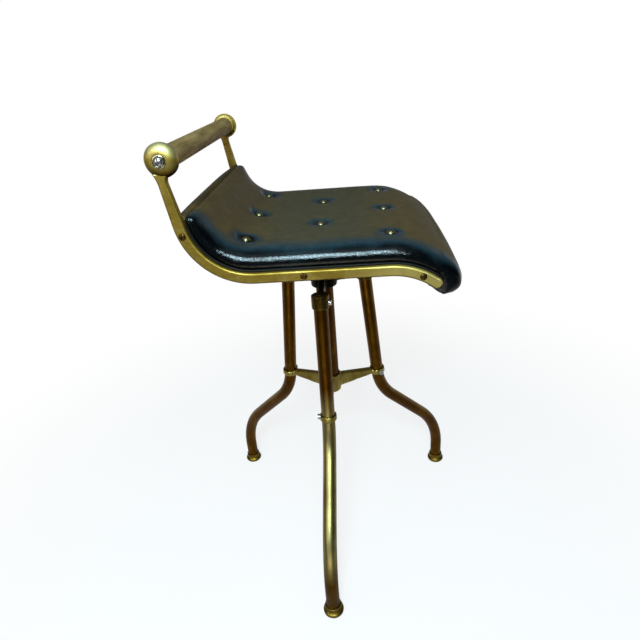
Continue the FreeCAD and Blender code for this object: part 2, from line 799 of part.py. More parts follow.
def make_handle():
    bar = cylinder("hand_bar_rod", "bar_outside / 2", "2 * bar_half", *to_handle("left", "-bar_half"))
    rooms = [handle_screw_room(f"bar_{side}_hole", side) for side in SIDES]
    node(cut("hand_bar_drilled", bar, rooms), "hand_bar")
    washers = []
    screws = []
    for side in SIDES:
        collar = fuse(f"{side}_collar_blank", [
            cylinder(f"{side}_collar_rim", "collar_outside / 2", "collar / 2",
                     *to_handle(side, "bar_half + collar / 2")),
            cylinder(f"{side}_collar_step", "collar_outside / 2 - collar_step_width", "collar",
                     *to_handle(side, "bar_half")),
        ])
        hole = handle_screw_room(f"{side}_collar_hole", side)
        node(cut(f"{side}_collar", collar, [hole]), f"bar_collar_{side}")
        face = "board_half + eye_depth"
        disc = cylinder(f"{side}_handle_washer_disc", "handle_washer / 2", "handle_washer_thick",
                        *to_handle(side, face))
        washers.append(cut(f"{side}_handle_washer", disc, [handle_screw_room(f"{side}_washer_hole", side)]))
        length = "handle_washer_thick + eye_depth + collar + handle_screw_bite"
        screws.append(screw(f"{side}_handle_screw", "handle_screw / 2", length, "handle_screw_head / 2",
                            "handle_screw_dome", True, *to_handle(side, f"{face} + handle_washer_thick")))
    node(group("handle_washer_set", washers), "handle_washers")
    node(group("handle_screw_set", screws), "handle_screws")


# Buttons: one row on the rear curve, one on the flat and one on the front curve
def button_spots():
    rear = "(rear_row_place - rear_flat) / rear_bend * 180 / pi"
    front = "(-front_row_place - front_flat) / front_bend * 180 / pi"
    across = ["side_button_place", "0", "-side_button_place"]
    for x in across:
        yield x, rear_spot(rear, "0"), rear
    for x in ("middle_button_place", "-middle_button_place"):
        yield x, flat_spot("middle_row_place", "0"), "0"
    for x in across:
        yield x, front_spot(front, "0"), front


def button_steps(spot):
    """Steps to a button's place on the seat line, with Z turned towards the sitter."""
    x, (y, z), sweep = spot
    return move(x, y, z), turn("x", sweep)


def button_room(name, spot):
    return cylinder(name, "button_shank / 2 + screw_fit", "2 * board + pad_thickness", *button_steps(spot),
                    move(z="-board"))


def make_buttons():
    buttons = []
    washers = []
    for index, spot in enumerate(button_spots(), 1):
        steps = button_steps(spot)
        tail = "button_washer_seat + button_washer_thick + button_tail"
        parts = [
            cylinder(f"button_rim_{index}", "button_rim / 2", "button_rim_height",
                     move(z="button_seat + pad_gap")),
            dome(f"button_dome_{index}", "button_dome / 2", "button_rim_height + button_dome_height",
                 move(z="button_seat + pad_gap")),
            cylinder(f"button_shank_{index}", "button_shank / 2", f"button_seat + pad_gap + {tail}",
                     move(z=f"-({tail})")),
        ]
        buttons.append(fuse(f"button_{index}", parts, *steps))
        disc = cylinder(f"button_washer_disc_{index}", "button_washer / 2", "button_washer_thick", *steps,
                        move(z="-(button_washer_seat) - button_washer_thick"))
        hole = button_room(f"button_washer_hole_{index}", spot)
        washers.append(cut(f"button_washer_{index}", disc, [hole]))
    node(group("button_set", buttons), "seat_buttons")
    node(group("button_washer_set", washers), "button_washers")


# Seat board and rear cover
def make_board():
    half = "board / 2"
    top = [back_spot("back_rise", f"-{half}"), back_spot("back_rise", half)]
    outline = lower_side("board_sweep", f"-{half}") + top + upper_side("board_sweep", half)
    board = padded("board_shaped", outline, "-board_half", "board_width")
    rooms = [plate_screw_room(f"board_hole_{corner}", corner) for corner in CORNERS]
    for side in SIDES:
        rooms += [rail_screw_room(f"board_{side}_{name}_hole", side, name) for name in RAIL_SCREWS]
    for index, spot in enumerate(button_spots(), 1):
        rooms.append(button_room(f"board_button_hole_{index}", spot))
    node(cut("board_drilled", board, rooms), "seat_board")


def make_rear_cover():
    top = "back_rise + rear_cover_top"
    half = "board / 2"
    outline = [
        (*rear_spot("rear_cover_sweep", "cover_low"), "rear_bend - (cover_low)", "left"),
        back_spot("0", "cover_low"),
        back_spot(f"{top} - rear_cover_fall", "cover_low"),
        back_spot(top, half),
        back_spot("back_rise", half),
        back_spot("back_rise", f"-{half}"),
        (*back_spot("0", f"-{half}"), f"rear_bend + {half}", "right"),
        rear_spot("rear_cover_sweep", f"-{half}"),
    ]
    cover = padded("rear_cover_shaped", outline, "pad_inset - board_half", "board_width - 2 * pad_inset")
    node(cover, "rear_cover")


# Pad: one loft along the seat line over the board, a second one for the roll over the front edge
PAD_STEPS = 30
CAP_ANGLES = (0, 30, 55, 75)
NOSE_ANGLES = (35, 58, 76)
SHOULDER_SHARE = 0.55
TUFT_WALL_SHARES = (0.33, 0.56)
TUFT_LIP_SHARE = 0.12
ARC_MIDDLE_SHARE = 1 - math.sqrt(0.5)


def seat_frame(place_along):
    """Spot on the seat line at a distance along it, and the direction towards the sitter there."""
    front, rear = value("front_flat"), value("rear_flat")
    front_bend, rear_bend = value("front_bend"), value("rear_bend")
    height = value("rail_height")
    lean_sweep = math.radians(90 - value("back_lean"))
    if place_along < -front:
        sweep = (-front - place_along) / front_bend
        normal = Vector(0, -math.sin(sweep), math.cos(sweep))
        return Vector(0, -front, height - front_bend) + normal * front_bend, normal
    if place_along <= rear:
        return Vector(0, place_along, height), Vector(0, 0, 1)
    sweep = min((place_along - rear) / rear_bend, lean_sweep)
    normal = Vector(0, -math.sin(sweep), math.cos(sweep))
    beyond = max(place_along - rear - rear_bend * lean_sweep, 0)
    along = Vector(0, math.cos(sweep), math.sin(sweep))
    return Vector(0, rear, height + rear_bend) - normal * rear_bend + along * beyond, normal


def pad_section(place_along, low, high, half, bulge, crown):
    """Cross-section: flat below, bulging sides, round shoulders and a crowned top."""
    spot, normal = seat_frame(place_along)
    edge = high - crown
    drop = min(value("pad_shoulder"), SHOULDER_SHARE * (edge - low))
    run = value("pad_shoulder_run") * drop / value("pad_shoulder")

    def at(x, offset):
        return spot + normal * offset + Vector(x, 0, 0)

    bulge *= (edge - low) / value("pad_thickness - pad_crown")
    brow = half + bulge / 2
    side_low = [(half, low), (half + bulge, (low + edge - drop) / 2), (brow, edge - drop)]
    shoulder = [(brow, edge - drop), (brow - run * ARC_MIDDLE_SHARE, edge - drop * ARC_MIDDLE_SHARE),
                (half - run, edge)]
    top = [shoulder[-1], (0, high), (run - half, edge)]
    mirrored = [[(-x, offset) for x, offset in reversed(curve)] for curve in (side_low, shoulder)]
    edges = [Part.Arc(*(at(*corner) for corner in curve)).toShape()
             for curve in (side_low, shoulder, top, mirrored[1], mirrored[0])]
    edges.append(Part.LineSegment(at(-half, low), at(half, low)).toShape())
    return Part.Wire(Part.__sortEdges__(edges))


def eased(fraction):
    fraction = min(max(fraction, 0), 1)
    return fraction * fraction * (3 - 2 * fraction)


def pad_places():
    """Ends of the pad on the board: the top of the back and the plane just past the board's front edge."""
    top = value("rear_flat + rear_bend * (90 - back_lean) * pi / 180 + back_rise + rear_cover_top")
    front = value("-front_flat - front_bend * board_sweep * pi / 180 - pad_gap")
    return top, front


def pad_thickness_at(place_along):
    """Thick over the flat, thinner up the back and at the front edge."""
    top, front = pad_places()
    flat = value("pad_thickness")
    if place_along > value("rear_flat"):
        share = eased((place_along - value("rear_flat")) / (top - value("rear_flat")))
        return flat + (value("pad_back_thickness") - flat) * share
    share = eased((-value("front_flat") - place_along) / (-value("front_flat") - front))
    return flat + (value("pad_front_thickness") - flat) * share


def pad_on_board(half, low):
    """Pad from the front edge up the back, and a cap that rounds it over at the top of the back."""
    top, front = pad_places()
    rounding = value("pad_edge_round")

    def section(spot, lost=0):
        high = low + pad_thickness_at(spot) - lost
        return pad_section(spot, low, high, half, value("pad_bulge"), value("pad_crown"))

    steps = [front + (top - rounding - front) * step / PAD_STEPS for step in range(PAD_STEPS + 1)]
    body = Part.makeLoft([section(spot) for spot in steps], True, False)
    turns = [math.radians(angle) for angle in CAP_ANGLES]
    cap_sections = [section(top - rounding * (1 - math.sin(turn_by)), rounding * (1 - math.cos(turn_by)))
                    for turn_by in turns]
    return body.fuse(Part.makeLoft(cap_sections, True, True))


def pad_roll(half, low):
    """Roll past the board's front edge: it reaches under the edge and ends in a round nose."""
    _, front = pad_places()
    step = value("pad_gap")
    bulge = value("roll_bulge")
    under = -value("board / 2 + roll_under")
    over = low + value("pad_front_thickness") + step
    end = value("-front_flat - front_bend * roll_sweep * pi / 180")
    bend_start = value("-front_flat - front_bend * roll_round_sweep * pi / 180")
    sections = []
    for share in (0, 1):
        spot = front + (bend_start - front) * share
        sections.append(pad_section(spot, under, over, half + step, bulge, value("pad_crown")))
    for angle in NOSE_ANGLES:
        reach = math.sin(math.radians(angle))
        fullness = math.cos(math.radians(angle))
        middle = (under + over) / 2
        depth = (over - under) / 2 * fullness
        inset = value("roll_end_round") * (1 - fullness)
        sections.append(pad_section(bend_start + (end - bend_start) * reach, middle - depth, middle + depth,
                                    half + step - inset, bulge, value("pad_crown") * fullness))
    return Part.makeLoft(sections, True, False)


def tuft_room(low):
    """Pit round a button, with the shank's hole, on its own Z axis from the seat line."""
    floor = value("tuft_floor") / 2
    spread = value("tuft_spread") / 2
    seat = value("button_seat")
    surface = low + value("pad_thickness")
    depth = value("tuft_depth")
    hole = value("button_shank / 2 + screw_fit")
    run_share, rise_share = TUFT_WALL_SHARES
    wall_middle = Vector(floor + run_share * (spread - floor), 0, seat + rise_share * depth)
    wall_top = Vector(spread, 0, surface + TUFT_LIP_SHARE * depth)
    corners = [Vector(0, 0, 0), Vector(hole, 0, 0), Vector(hole, 0, seat), Vector(floor, 0, seat)]
    above = [wall_top, Vector(spread, 0, surface + depth), Vector(0, 0, surface + depth), corners[0]]
    edges = [Part.LineSegment(*pair).toShape() for pair in zip(corners, corners[1:])]
    edges.append(Part.Arc(corners[-1], wall_middle, wall_top).toShape())
    edges += [Part.LineSegment(*pair).toShape() for pair in zip(above, above[1:])]
    return Part.Face(Part.Wire(edges)).revolve(Vector(), Vector(0, 0, 1), 360)


def make_pad():
    half = value("board_half - pad_inset")
    low = value("pad_low")
    shape = pad_on_board(half, low).fuse(pad_roll(half, low))
    room = tuft_room(low)
    for spot in button_spots():
        x, (y, z), sweep = spot
        pit = room.copy()
        pit.Placement = FreeCAD.Placement(Vector(value(x), value(y), value(z)),
                                          FreeCAD.Rotation(Vector(1, 0, 0), value(sweep)))
        shape = shape.cut(pit)
    pad = doc.addObject("Part::Feature", "pad_loft")
    pad.Shape = shape.Solids[0]
    node(pad, "seat_pad")


for leg_number in LEGS:
    make_leg(leg_number)
    make_foot(leg_number)
make_lower_casting()
make_upper_casting()
make_tube_screws()
make_column()
make_spindle()
make_plate()
make_board()
make_rear_cover()
make_pad()
make_buttons()
make_rails()
make_rail_screws()
make_handle()

doc.recompute()
failed = [thing.Name for thing in doc.Objects if "Invalid" in thing.State or "Error" in thing.State]
if failed:
    raise RuntimeError("these did not build: " + ", ".join(failed))
for thing in NODES:
    if thing.Shape.isNull() or not thing.Shape.isValid() or not thing.Shape.Solids:
        raise RuntimeError(thing.Label + " has no valid solid")

os.makedirs("parts", exist_ok=True)
for thing in NODES:
    thing.Shape.exportStep(f"parts/{thing.Label}.step")
    print(f"{thing.Label}: {len(thing.Shape.Solids)} solid(s), {thing.Shape.Volume:.0f} mm3")
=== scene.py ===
# %% [markdown]
# # A revolving musician's stool
# The stool stands on three bent brass tubes held by two castings. A screwed spindle carries a curved seat
# with buttoned black leather between two brass side rails, and a wooden hand bar crosses the low back. The
# CAD model is loaded first and never changed: it says where everything is, in metres, with the floor at
# height 0, the sitter facing -Y and the hand bar at +Y. Each later step makes one piece or one finish
# around it.

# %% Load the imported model
import json
import math

import bmesh
import bpy
from mathutils import Matrix, Vector
from mathutils.bvhtree import BVHTree


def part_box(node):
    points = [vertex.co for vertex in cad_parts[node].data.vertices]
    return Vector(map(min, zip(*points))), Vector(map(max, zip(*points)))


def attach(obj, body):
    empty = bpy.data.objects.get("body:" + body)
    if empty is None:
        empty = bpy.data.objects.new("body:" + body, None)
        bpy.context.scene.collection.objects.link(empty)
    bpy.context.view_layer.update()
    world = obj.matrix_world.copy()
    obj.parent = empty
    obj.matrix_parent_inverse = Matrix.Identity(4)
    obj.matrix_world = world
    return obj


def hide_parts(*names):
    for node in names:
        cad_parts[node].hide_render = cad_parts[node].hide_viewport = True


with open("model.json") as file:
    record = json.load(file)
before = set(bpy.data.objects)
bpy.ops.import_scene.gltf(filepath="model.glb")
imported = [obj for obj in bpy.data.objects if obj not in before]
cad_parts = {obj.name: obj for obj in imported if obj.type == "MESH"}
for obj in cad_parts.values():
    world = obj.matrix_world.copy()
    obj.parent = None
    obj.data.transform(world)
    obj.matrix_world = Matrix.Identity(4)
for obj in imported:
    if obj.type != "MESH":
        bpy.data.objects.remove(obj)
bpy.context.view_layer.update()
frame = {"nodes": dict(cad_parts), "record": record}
cad_nodes = frame["nodes"]
slot_of_node = {part["node"]: part["material_slot"] for part in frame["record"]["subparts"]}
scene = bpy.context.scene
scene.view_settings.view_transform = "Standard"

# %% [markdown]
# ## Camera
# A photograph of an object fixes the camera as much as it fixes the object. Points on the legs, buttons and
# rails gave the place, the three angles and the focal length. Blender's camera looks down along its own -Z,
# so it is turned towards the stool, raised to the horizon less its tip, and last rolled about its own axis.

# %% Camera
IMAGE_PIXELS = 640
FOCAL_PIXELS = 500.275
SENSOR_MM = 36.0
CAMERA_PLACE = Vector((-0.750246, -0.043099, 0.794878))
CAMERA_TURN = 0.073
CAMERA_TIP = 0.470
CAMERA_ROLL = 0.083

camera_data = bpy.data.cameras.new("photo_camera")
camera_data.sensor_width = SENSOR_MM
camera_data.lens = FOCAL_PIXELS / IMAGE_PIXELS * SENSOR_MM
camera_data.clip_start = 0.01
camera = bpy.data.objects.new("photo_camera", camera_data)
scene.collection.objects.link(camera)
quarter = math.pi / 2
camera.matrix_world = (
    Matrix.Translation(CAMERA_PLACE)
    @ Matrix.Rotation(CAMERA_TURN - quarter, 4, "Z")
    @ Matrix.Rotation(quarter - CAMERA_TIP, 4, "X")
    @ Matrix.Rotation(-CAMERA_ROLL, 4, "Z")
)
scene.camera = camera
print("lens", round(camera_data.lens, 2), "mm")

# %% [markdown]
# ## Node helpers
# Every finish below is a small network of nodes. One helper adds a node and fills its inputs, where an
# input may be a number, a colour or the output of another node, so a finish reads as a short recipe.
# Patterns read Object coordinates, which are metres here, so a scale of 500 repeats about every 2 mm.

# %% Node helpers
def add_node(tree, kind, inputs=None, **settings):
    """Adds a node, sets its properties, and fills or links its inputs."""
    node = tree.nodes.new(kind)
    for name, value in settings.items():
        setattr(node, name, value)
    for name, value in (inputs or {}).items():
        if isinstance(value, bpy.types.NodeSocket):
            tree.links.new(value, node.inputs[name])
        else:
            node.inputs[name].default_value = value
    return node


def start_finish(name, **sockets):
    """A material with its shader, the shader's uniform values, and Object coordinates."""
    material = bpy.data.materials.new(name)
    material.use_nodes = True
    tree = material.node_tree
    shader = tree.nodes["Principled BSDF"]
    for socket, value in sockets.items():
        shader.inputs[socket.replace("_", " ")].default_value = value
    place = tree.nodes.new("ShaderNodeTexCoord").outputs["Object"]
    return material, tree, shader, place


def stretched(tree, place, scale):
    """Coordinates scaled differently along each axis, for grain and streaks."""
    return add_node(tree, "ShaderNodeMapping", {"Vector": place, "Scale": scale}).outputs["Vector"]


def noise(tree, place, scale, detail=4.0, roughness=0.55):
    """Soft cloudy variation between 0 and 1."""
    inputs = {"Vector": place, "Scale": scale, "Detail": detail, "Roughness": roughness}
    return add_node(tree, "ShaderNodeTexNoise", inputs).outputs["Fac"]


def ramp(tree, factor, *stops):
    """Colours by value: each stop is a place from 0 to 1 and an RGB colour or a grey level."""
    node = add_node(tree, "ShaderNodeValToRGB", {"Fac": factor})
    elements = node.color_ramp.elements
    while len(elements) < len(stops):
        elements.new(0.5)
    for element, (position, colour) in zip(elements, stops):
        element.position = position
        element.color = (*colour, 1.0) if isinstance(colour, tuple) else (colour, colour, colour, 1.0)
    return node.outputs["Color"]


def blend_colours(tree, factor, first, second, kind="MIX"):
    """The first colour, with the second laid over it by the factor."""
    node = add_node(tree, "ShaderNodeMix", data_type="RGBA", blend_type=kind)
    for socket, value in (("Factor_Float", factor), ("A_Color", first), ("B_Color", second)):
        target = next(item for item in node.inputs if item.identifier == socket)
        if isinstance(value, bpy.types.NodeSocket):
            tree.links.new(value, target)
        else:
            target.default_value = (*value, 1.0) if isinstance(value, tuple) else value
    return next(item for item in node.outputs if item.identifier == "Result_Color")


def calculate(tree, operation, first, second):
    """One sum, product or comparison of two values."""
    node = add_node(tree, "ShaderNodeMath", operation=operation)
    for target, value in zip(node.inputs, (first, second)):
        if isinstance(value, bpy.types.NodeSocket):
            tree.links.new(value, target)
        else:
            target.default_value = value
    return node.outputs["Value"]


def weighted(tree, first, second, share):
    """A mean of two values, with the given share of the first."""
    first_part = calculate(tree, "MULTIPLY", first, share)
    return calculate(tree, "ADD", first_part, calculate(tree, "MULTIPLY", second, 1.0 - share))


def around_zero(tree, value, width):
    """A noise that swings about zero, over the given width."""
    return calculate(tree, "MULTIPLY", calculate(tree, "SUBTRACT", value, 0.5), width)


def map_range(tree, value, low, high, start=0.0, end=1.0, **settings):
    """A value carried from one range to another and kept inside it."""
    inputs = {"Value": value, "From Min": low, "From Max": high, "To Min": start, "To Max": end}
    return add_node(tree, "ShaderNodeMapRange", inputs, **settings).outputs["Result"]


def relief(tree, shader, height, depth, strength=1.0, under=None):
    """Bump of a given depth in metres, over another bump where there is one."""
    inputs = {"Height": height, "Distance": depth, "Strength": strength}
    if under is not None:
        inputs["Normal"] = under
    bump = add_node(tree, "ShaderNodeBump", inputs).outputs["Normal"]
    tree.links.new(bump, shader.inputs["Normal"])
    return bump


print("node helpers ready")

# %% [markdown]
# ## Brass
# Old brass isn't one colour. The tubes carry a dark red-brown tarnish, with lengthwise streaks from handling
# and scattered dark spots. The shins, most of all the near leg's, the fronts of the rails and the tops of the
# eyes are lighter where they look upwards: partly rubbed brass, partly a painted highlight. Undersides are
# painted dark as shade, and the upper casting is painted near black round the spindle as the shade under the
# seat. One recipe serves all of them: a cloudy noise picks between a dark, a middle and a bright brass,
# stretched noise adds the streaks, and a finer noise, cut sharply, leaves the spots. A lighter patch, partly
# a painted highlight, lies between two values along one axis, where the surface looks upwards. Tarnish is
# duller than bare brass, so the same clouds drive the roughness.

# %% Brass finishes
SPINDLE_SHADE_BLACK = (0.006, 0.005, 0.003)
SPINDLE_SHADE_COVER = 0.95
SPOT_SHADE = 0.25
UNDERSIDE_SHADE_SLOPES = (0.15, -0.6)
SCRATCH_DEPTH, PIT_DEPTH = 0.00001, 0.00002


def facing_up(tree, low, high):
    """How far a surface looks upwards: 0 below one slope, 1 above another."""
    normal = tree.nodes.new("ShaderNodeNewGeometry").outputs["Normal"]
    upward = add_node(tree, "ShaderNodeSeparateXYZ", {"Vector": normal}).outputs["Z"]
    return map_range(tree, upward, low, high)


def between(tree, value, low, high, fade):
    """1 between two values, fading to 0 outside them."""
    rising = map_range(tree, value, low - fade, low)
    falling = map_range(tree, value, high + fade, high)
    return calculate(tree, "MULTIPLY", rising, falling)


def brass_finish(
    name, dark, middle, bright, dull, polished, streak=(60, 60, 7), spots=0.6, metal=1.0, rubbed_and_sheen=(),
    under=None, spindle_shade=None,
):
    """Worn brass: tarnish clouds, lengthwise streaks, dark spots and fine scratches, with painted highlights
    and painted shade where they are asked for.
    """
    material, tree, shader, place = start_finish(name, Metallic=metal, Specular_IOR_Level=0.3)
    clouds = noise(tree, place, 22.0, detail=8.0, roughness=0.62)
    streaks = noise(tree, stretched(tree, place, streak), 9.0, detail=6.0, roughness=0.7)
    wear = weighted(tree, clouds, streaks, 0.5)
    colour = ramp(tree, wear, (0.32, dark), (0.5, middle), (0.7, bright))
    pits = noise(tree, place, 170.0, detail=4.0, roughness=0.6)
    spot = ramp(tree, pits, (0.68, 0.0), (0.74, spots))
    # Each lighter patch is partly rubbed brass and partly a painted highlight on surfaces that look upwards.
    for rubbed_sheen_colour, axis, low, high, fade, slope in rubbed_and_sheen:
        along = add_node(tree, "ShaderNodeSeparateXYZ", {"Vector": place}).outputs[axis]
        patchy = ramp(tree, clouds, (0.3, 0.5), (0.6, 1.0))
        share = calculate(tree, "MULTIPLY", between(tree, along, low, high, fade), facing_up(tree, *slope))
        colour = blend_colours(tree, calculate(tree, "MULTIPLY", share, patchy), colour, rubbed_sheen_colour)
    # Painted shade: surfaces that look downwards are blended towards a dark colour.
    if under is not None:
        colour = blend_colours(tree, facing_up(tree, *UNDERSIDE_SHADE_SLOPES), colour, under)
    # Painted shade: near the spindle the colour goes towards near black, as in the shade under the seat.
    if spindle_shade is not None:
        level = stretched(tree, place, (1, 1, 0))
        from_axis = add_node(tree, "ShaderNodeVectorMath", {0: level}, operation="LENGTH").outputs["Value"]
        near, far = spindle_shade
        share = map_range(tree, from_axis, far, near, end=SPINDLE_SHADE_COVER)
        colour = blend_colours(tree, share, colour, SPINDLE_SHADE_BLACK)
    colour = blend_colours(tree, spot, colour, tuple(value * SPOT_SHADE for value in dark))
    tree.links.new(colour, shader.inputs["Base Color"])
    tree.links.new(ramp(tree, wear, (0.35, dull), (0.65, polished)), shader.inputs["Roughness"])
    scratches = noise(tree, stretched(tree, place, (900, 900, 60)), 1.0, detail=5.0, roughness=0.7)
    first = relief(tree, shader, scratches, SCRATCH_DEPTH)
    relief(tree, shader, pits, PIT_DEPTH, under=first)
    return material


TUBE_TARNISH = ((0.06, 0.018, 0.001), (0.125, 0.046, 0.002), (0.23, 0.118, 0.012), 0.42, 0.32)
# The shins get a lighter patch where they look upwards, partly rubbed brass and partly a painted highlight.
tube_brass = brass_finish(
    "tube_brass", *TUBE_TARNISH, rubbed_and_sheen=[((0.3, 0.2, 0.05), "Z", 0.14, 0.25, 0.04, (0.2, 0.7))]
)
# The near leg's shin gets a brighter, broader patch: a painted highlight over rubbed brass.
lit_shin_brass = brass_finish(
    "lit_shin_brass", *TUBE_TARNISH, rubbed_and_sheen=[((0.45, 0.37, 0.14), "Z", 0.12, 0.29, 0.05, (-0.25, 0.25))]
)
turned_brass = brass_finish(
    "turned_brass", (0.1, 0.05, 0.005), (0.24, 0.15, 0.022), (0.48, 0.36, 0.09), 0.5, 0.4
)
cast_brass = brass_finish(
    "cast_brass", (0.16, 0.09, 0.01), (0.4, 0.28, 0.055), (0.68, 0.56, 0.21), 0.44, 0.34
)
# A darker brass for the upper casting: its darker colours and the near black round the spindle are partly
# painted shade from the seat above.
shaded_socket_brass = brass_finish(
    "shaded_socket_brass", (0.05, 0.022, 0.002), (0.12, 0.07, 0.009), (0.28, 0.2, 0.05), 0.42, 0.32,
    spindle_shade=(0.045, 0.062),
)
# The rails are painted lighter at their fronts and on the tops of the eyes, partly rubbed brass and partly a
# painted highlight, and painted dark underneath as shade.
rail_brass = brass_finish(
    "rail_brass", (0.23, 0.135, 0.015), (0.49, 0.315, 0.05), (0.78, 0.59, 0.18), 0.58, 0.48,
    streak=(24, 4, 9), spots=0.4, metal=0.95, under=(0.05, 0.02, 0.001),
    rubbed_and_sheen=[
        ((0.9, 0.68, 0.2), "Y", -0.2, -0.1, 0.06, (-0.6, 0.0)),
        ((0.8, 0.69, 0.31), "Z", 0.695, 0.8, 0.012, (0.05, 0.5)),
    ],
)
screw_brass = brass_finish(
    "screw_brass", (0.05, 0.022, 0.005), (0.11, 0.06, 0.014), (0.22, 0.14, 0.045), 0.5, 0.4
)
polished_brass = brass_finish(
    "polished_brass", (0.42, 0.37, 0.22), (0.62, 0.57, 0.4), (0.75, 0.71, 0.55), 0.26, 0.16, spots=0.3
)
button_brass = brass_finish(
    "button_brass", (0.25, 0.19, 0.08), (0.52, 0.44, 0.22), (0.78, 0.7, 0.45), 0.42, 0.28
)
bronze = brass_finish("bronze", (0.16, 0.1, 0.035), (0.34, 0.22, 0.08), (0.45, 0.32, 0.14), 0.42, 0.28)
print("ten brass finishes")

# %% [markdown]
# ## Iron and steel
# The seat plate and the spindle are blackened iron, nearly black with a faint brown bloom and a sand-cast
# skin. The screws are plain steel, rubbed bright, with fine turning marks. In both, the same clouds drive
# colour and gloss.

# %% Iron and steel finishes
CAST_SKIN_DEPTH, TURNING_DEPTH = 0.0003, 0.00005


def iron_finish():
    """Blackened iron with a faint brown bloom."""
    material, tree, shader, place = start_finish("dark_iron", Metallic=0.6)
    clouds = noise(tree, place, 30.0, detail=8.0, roughness=0.65)
    colour = ramp(
        tree, clouds, (0.35, (0.012, 0.011, 0.009)), (0.55, (0.03, 0.027, 0.021)), (0.72, (0.09, 0.065, 0.03))
    )
    tree.links.new(colour, shader.inputs["Base Color"])
    tree.links.new(ramp(tree, clouds, (0.3, 0.55), (0.7, 0.4)), shader.inputs["Roughness"])
    skin = noise(tree, place, 420.0, detail=4.0, roughness=0.6)
    relief(tree, shader, skin, CAST_SKIN_DEPTH)
    return material


def steel_finish():
    """Plain steel, rubbed bright."""
    material, tree, shader, place = start_finish("steel", Metallic=1.0)
    clouds = noise(tree, place, 90.0, detail=7.0, roughness=0.6)
    colour = ramp(
        tree, clouds, (0.32, (0.3, 0.28, 0.24)), (0.48, (0.62, 0.61, 0.58)), (0.7, (0.82, 0.81, 0.78))
    )
    tree.links.new(colour, shader.inputs["Base Color"])
    tree.links.new(ramp(tree, clouds, (0.3, 0.42), (0.7, 0.2)), shader.inputs["Roughness"])
    relief(tree, shader, noise(tree, place, 900.0, detail=3.0), TURNING_DEPTH)
    return material


dark_iron = iron_finish()
steel = steel_finish()
print("iron and steel finishes")

# %% [markdown]
# ## Wood
# The hand bar is a turned hardwood stick, grey-brown and worn smooth, and its grain runs along X.
# Stretching noise along that axis gives long fibres, and a second, finer one the open pores. The seat board
# is paler and rawer, and is seen only from below, so the same recipe takes its colours as arguments.

# %% Wood finishes
FIBRE_FINENESS, FIBRE_DEPTH = 6, 0.00025
BAND_SHARE = 0.65
WEAR_DULLING = 0.12


def wood_finish(name, dark, middle, pale, worn_roughness, grain_axis):
    """Wood whose grain is longest along the axis with the smallest scale."""
    material, tree, shader, place = start_finish(name, Specular_IOR_Level=0.12)
    bands = noise(tree, stretched(tree, place, grain_axis), 14.0, detail=7.0, roughness=0.6)
    fine_axis = tuple(value * FIBRE_FINENESS for value in grain_axis)
    fibres = noise(tree, stretched(tree, place, fine_axis), 34.0, detail=5.0, roughness=0.7)
    worn = noise(tree, place, 18.0, detail=5.0)
    grain = weighted(tree, bands, fibres, BAND_SHARE)
    colour = ramp(tree, grain, (0.36, dark), (0.5, middle), (0.66, pale))
    soiled = ramp(tree, worn, (0.38, 0.3), (0.62, 0.0))
    colour = blend_colours(tree, soiled, colour, dark)
    tree.links.new(colour, shader.inputs["Base Color"])
    roughness = ramp(tree, worn, (0.3, worn_roughness + WEAR_DULLING), (0.7, worn_roughness))
    tree.links.new(roughness, shader.inputs["Roughness"])
    relief(tree, shader, fibres, FIBRE_DEPTH)
    return material


bar_wood = wood_finish(
    "bar_wood", (0.15, 0.09, 0.028), (0.32, 0.21, 0.075), (0.46, 0.33, 0.14), 0.55, (1, 9, 9)
)
board_wood = wood_finish(
    "board_wood", (0.17, 0.1, 0.05), (0.3, 0.2, 0.11), (0.42, 0.3, 0.18), 0.6, (9, 1, 9)
)
print("two wood finishes")

# %% [markdown]
# ## Dress the CAD nodes
# Most solids already have the right shape, so they stay and only take a finish. The record says which finish
# each node has, and a table from those names to the materials dresses them all. Two nodes then differ from
# their neighbours: the rail screws are darker than the rails, and the near leg's shin has a brighter patch,
# partly rubbed brass and partly a painted highlight.

# %% Dress the CAD nodes
finish_of_slot = {
    "tube_brass": tube_brass, "turned_brass": turned_brass, "cast_brass": cast_brass, "dark_iron": dark_iron,
    "bronze": bronze, "steel": steel, "board_wood": board_wood, "bar_wood": bar_wood,
    "button_brass": button_brass, "rail_brass": rail_brass,
}
for node_name, cad_object in cad_nodes.items():
    finish = finish_of_slot.get(slot_of_node[node_name])
    if finish is not None:
        cad_object.data.materials.clear()
        cad_object.data.materials.append(finish)
cad_nodes["rail_screws"].data.materials[0] = screw_brass
cad_nodes["leg_1"].data.materials[0] = lit_shin_brass
print("dressed", sum(slot in finish_of_slot for slot in slot_of_node.values()), "nodes")

# %% [markdown]
# ## Mesh helpers
# A new piece is built in a bmesh and then handed to an object. Faces are shaded smooth, with edges kept
# sharp only where the surface turns by more than 40 degrees. Turned pieces start as half an outline, which
# spin takes round.

# %% Mesh helpers
SHARP_ANGLE = math.radians(40)
MERGE_DISTANCE = 1e-5


def hand_over(bm, name, finish):
    """Makes an object of a bmesh, at the origin, with one finish and smooth shading."""
    mesh = bpy.data.meshes.new(name)
    bm.to_mesh(mesh)
    bm.free()
    mesh.materials.append(finish)
    mesh.shade_smooth()
    mesh.set_sharp_from_angle(angle=SHARP_ANGLE)
    piece = bpy.data.objects.new(name, mesh)
    scene.collection.objects.link(piece)
    return piece


def apply_modifiers(piece):
    """Replaces a piece's mesh by the mesh that its modifiers give."""
    seen = bpy.context.evaluated_depsgraph_get()
    shaped = bpy.data.meshes.new_from_object(piece.evaluated_get(seen))
    rough = piece.data
    piece.modifiers.clear()
    piece.data = shaped
    bpy.data.meshes.remove(rough)


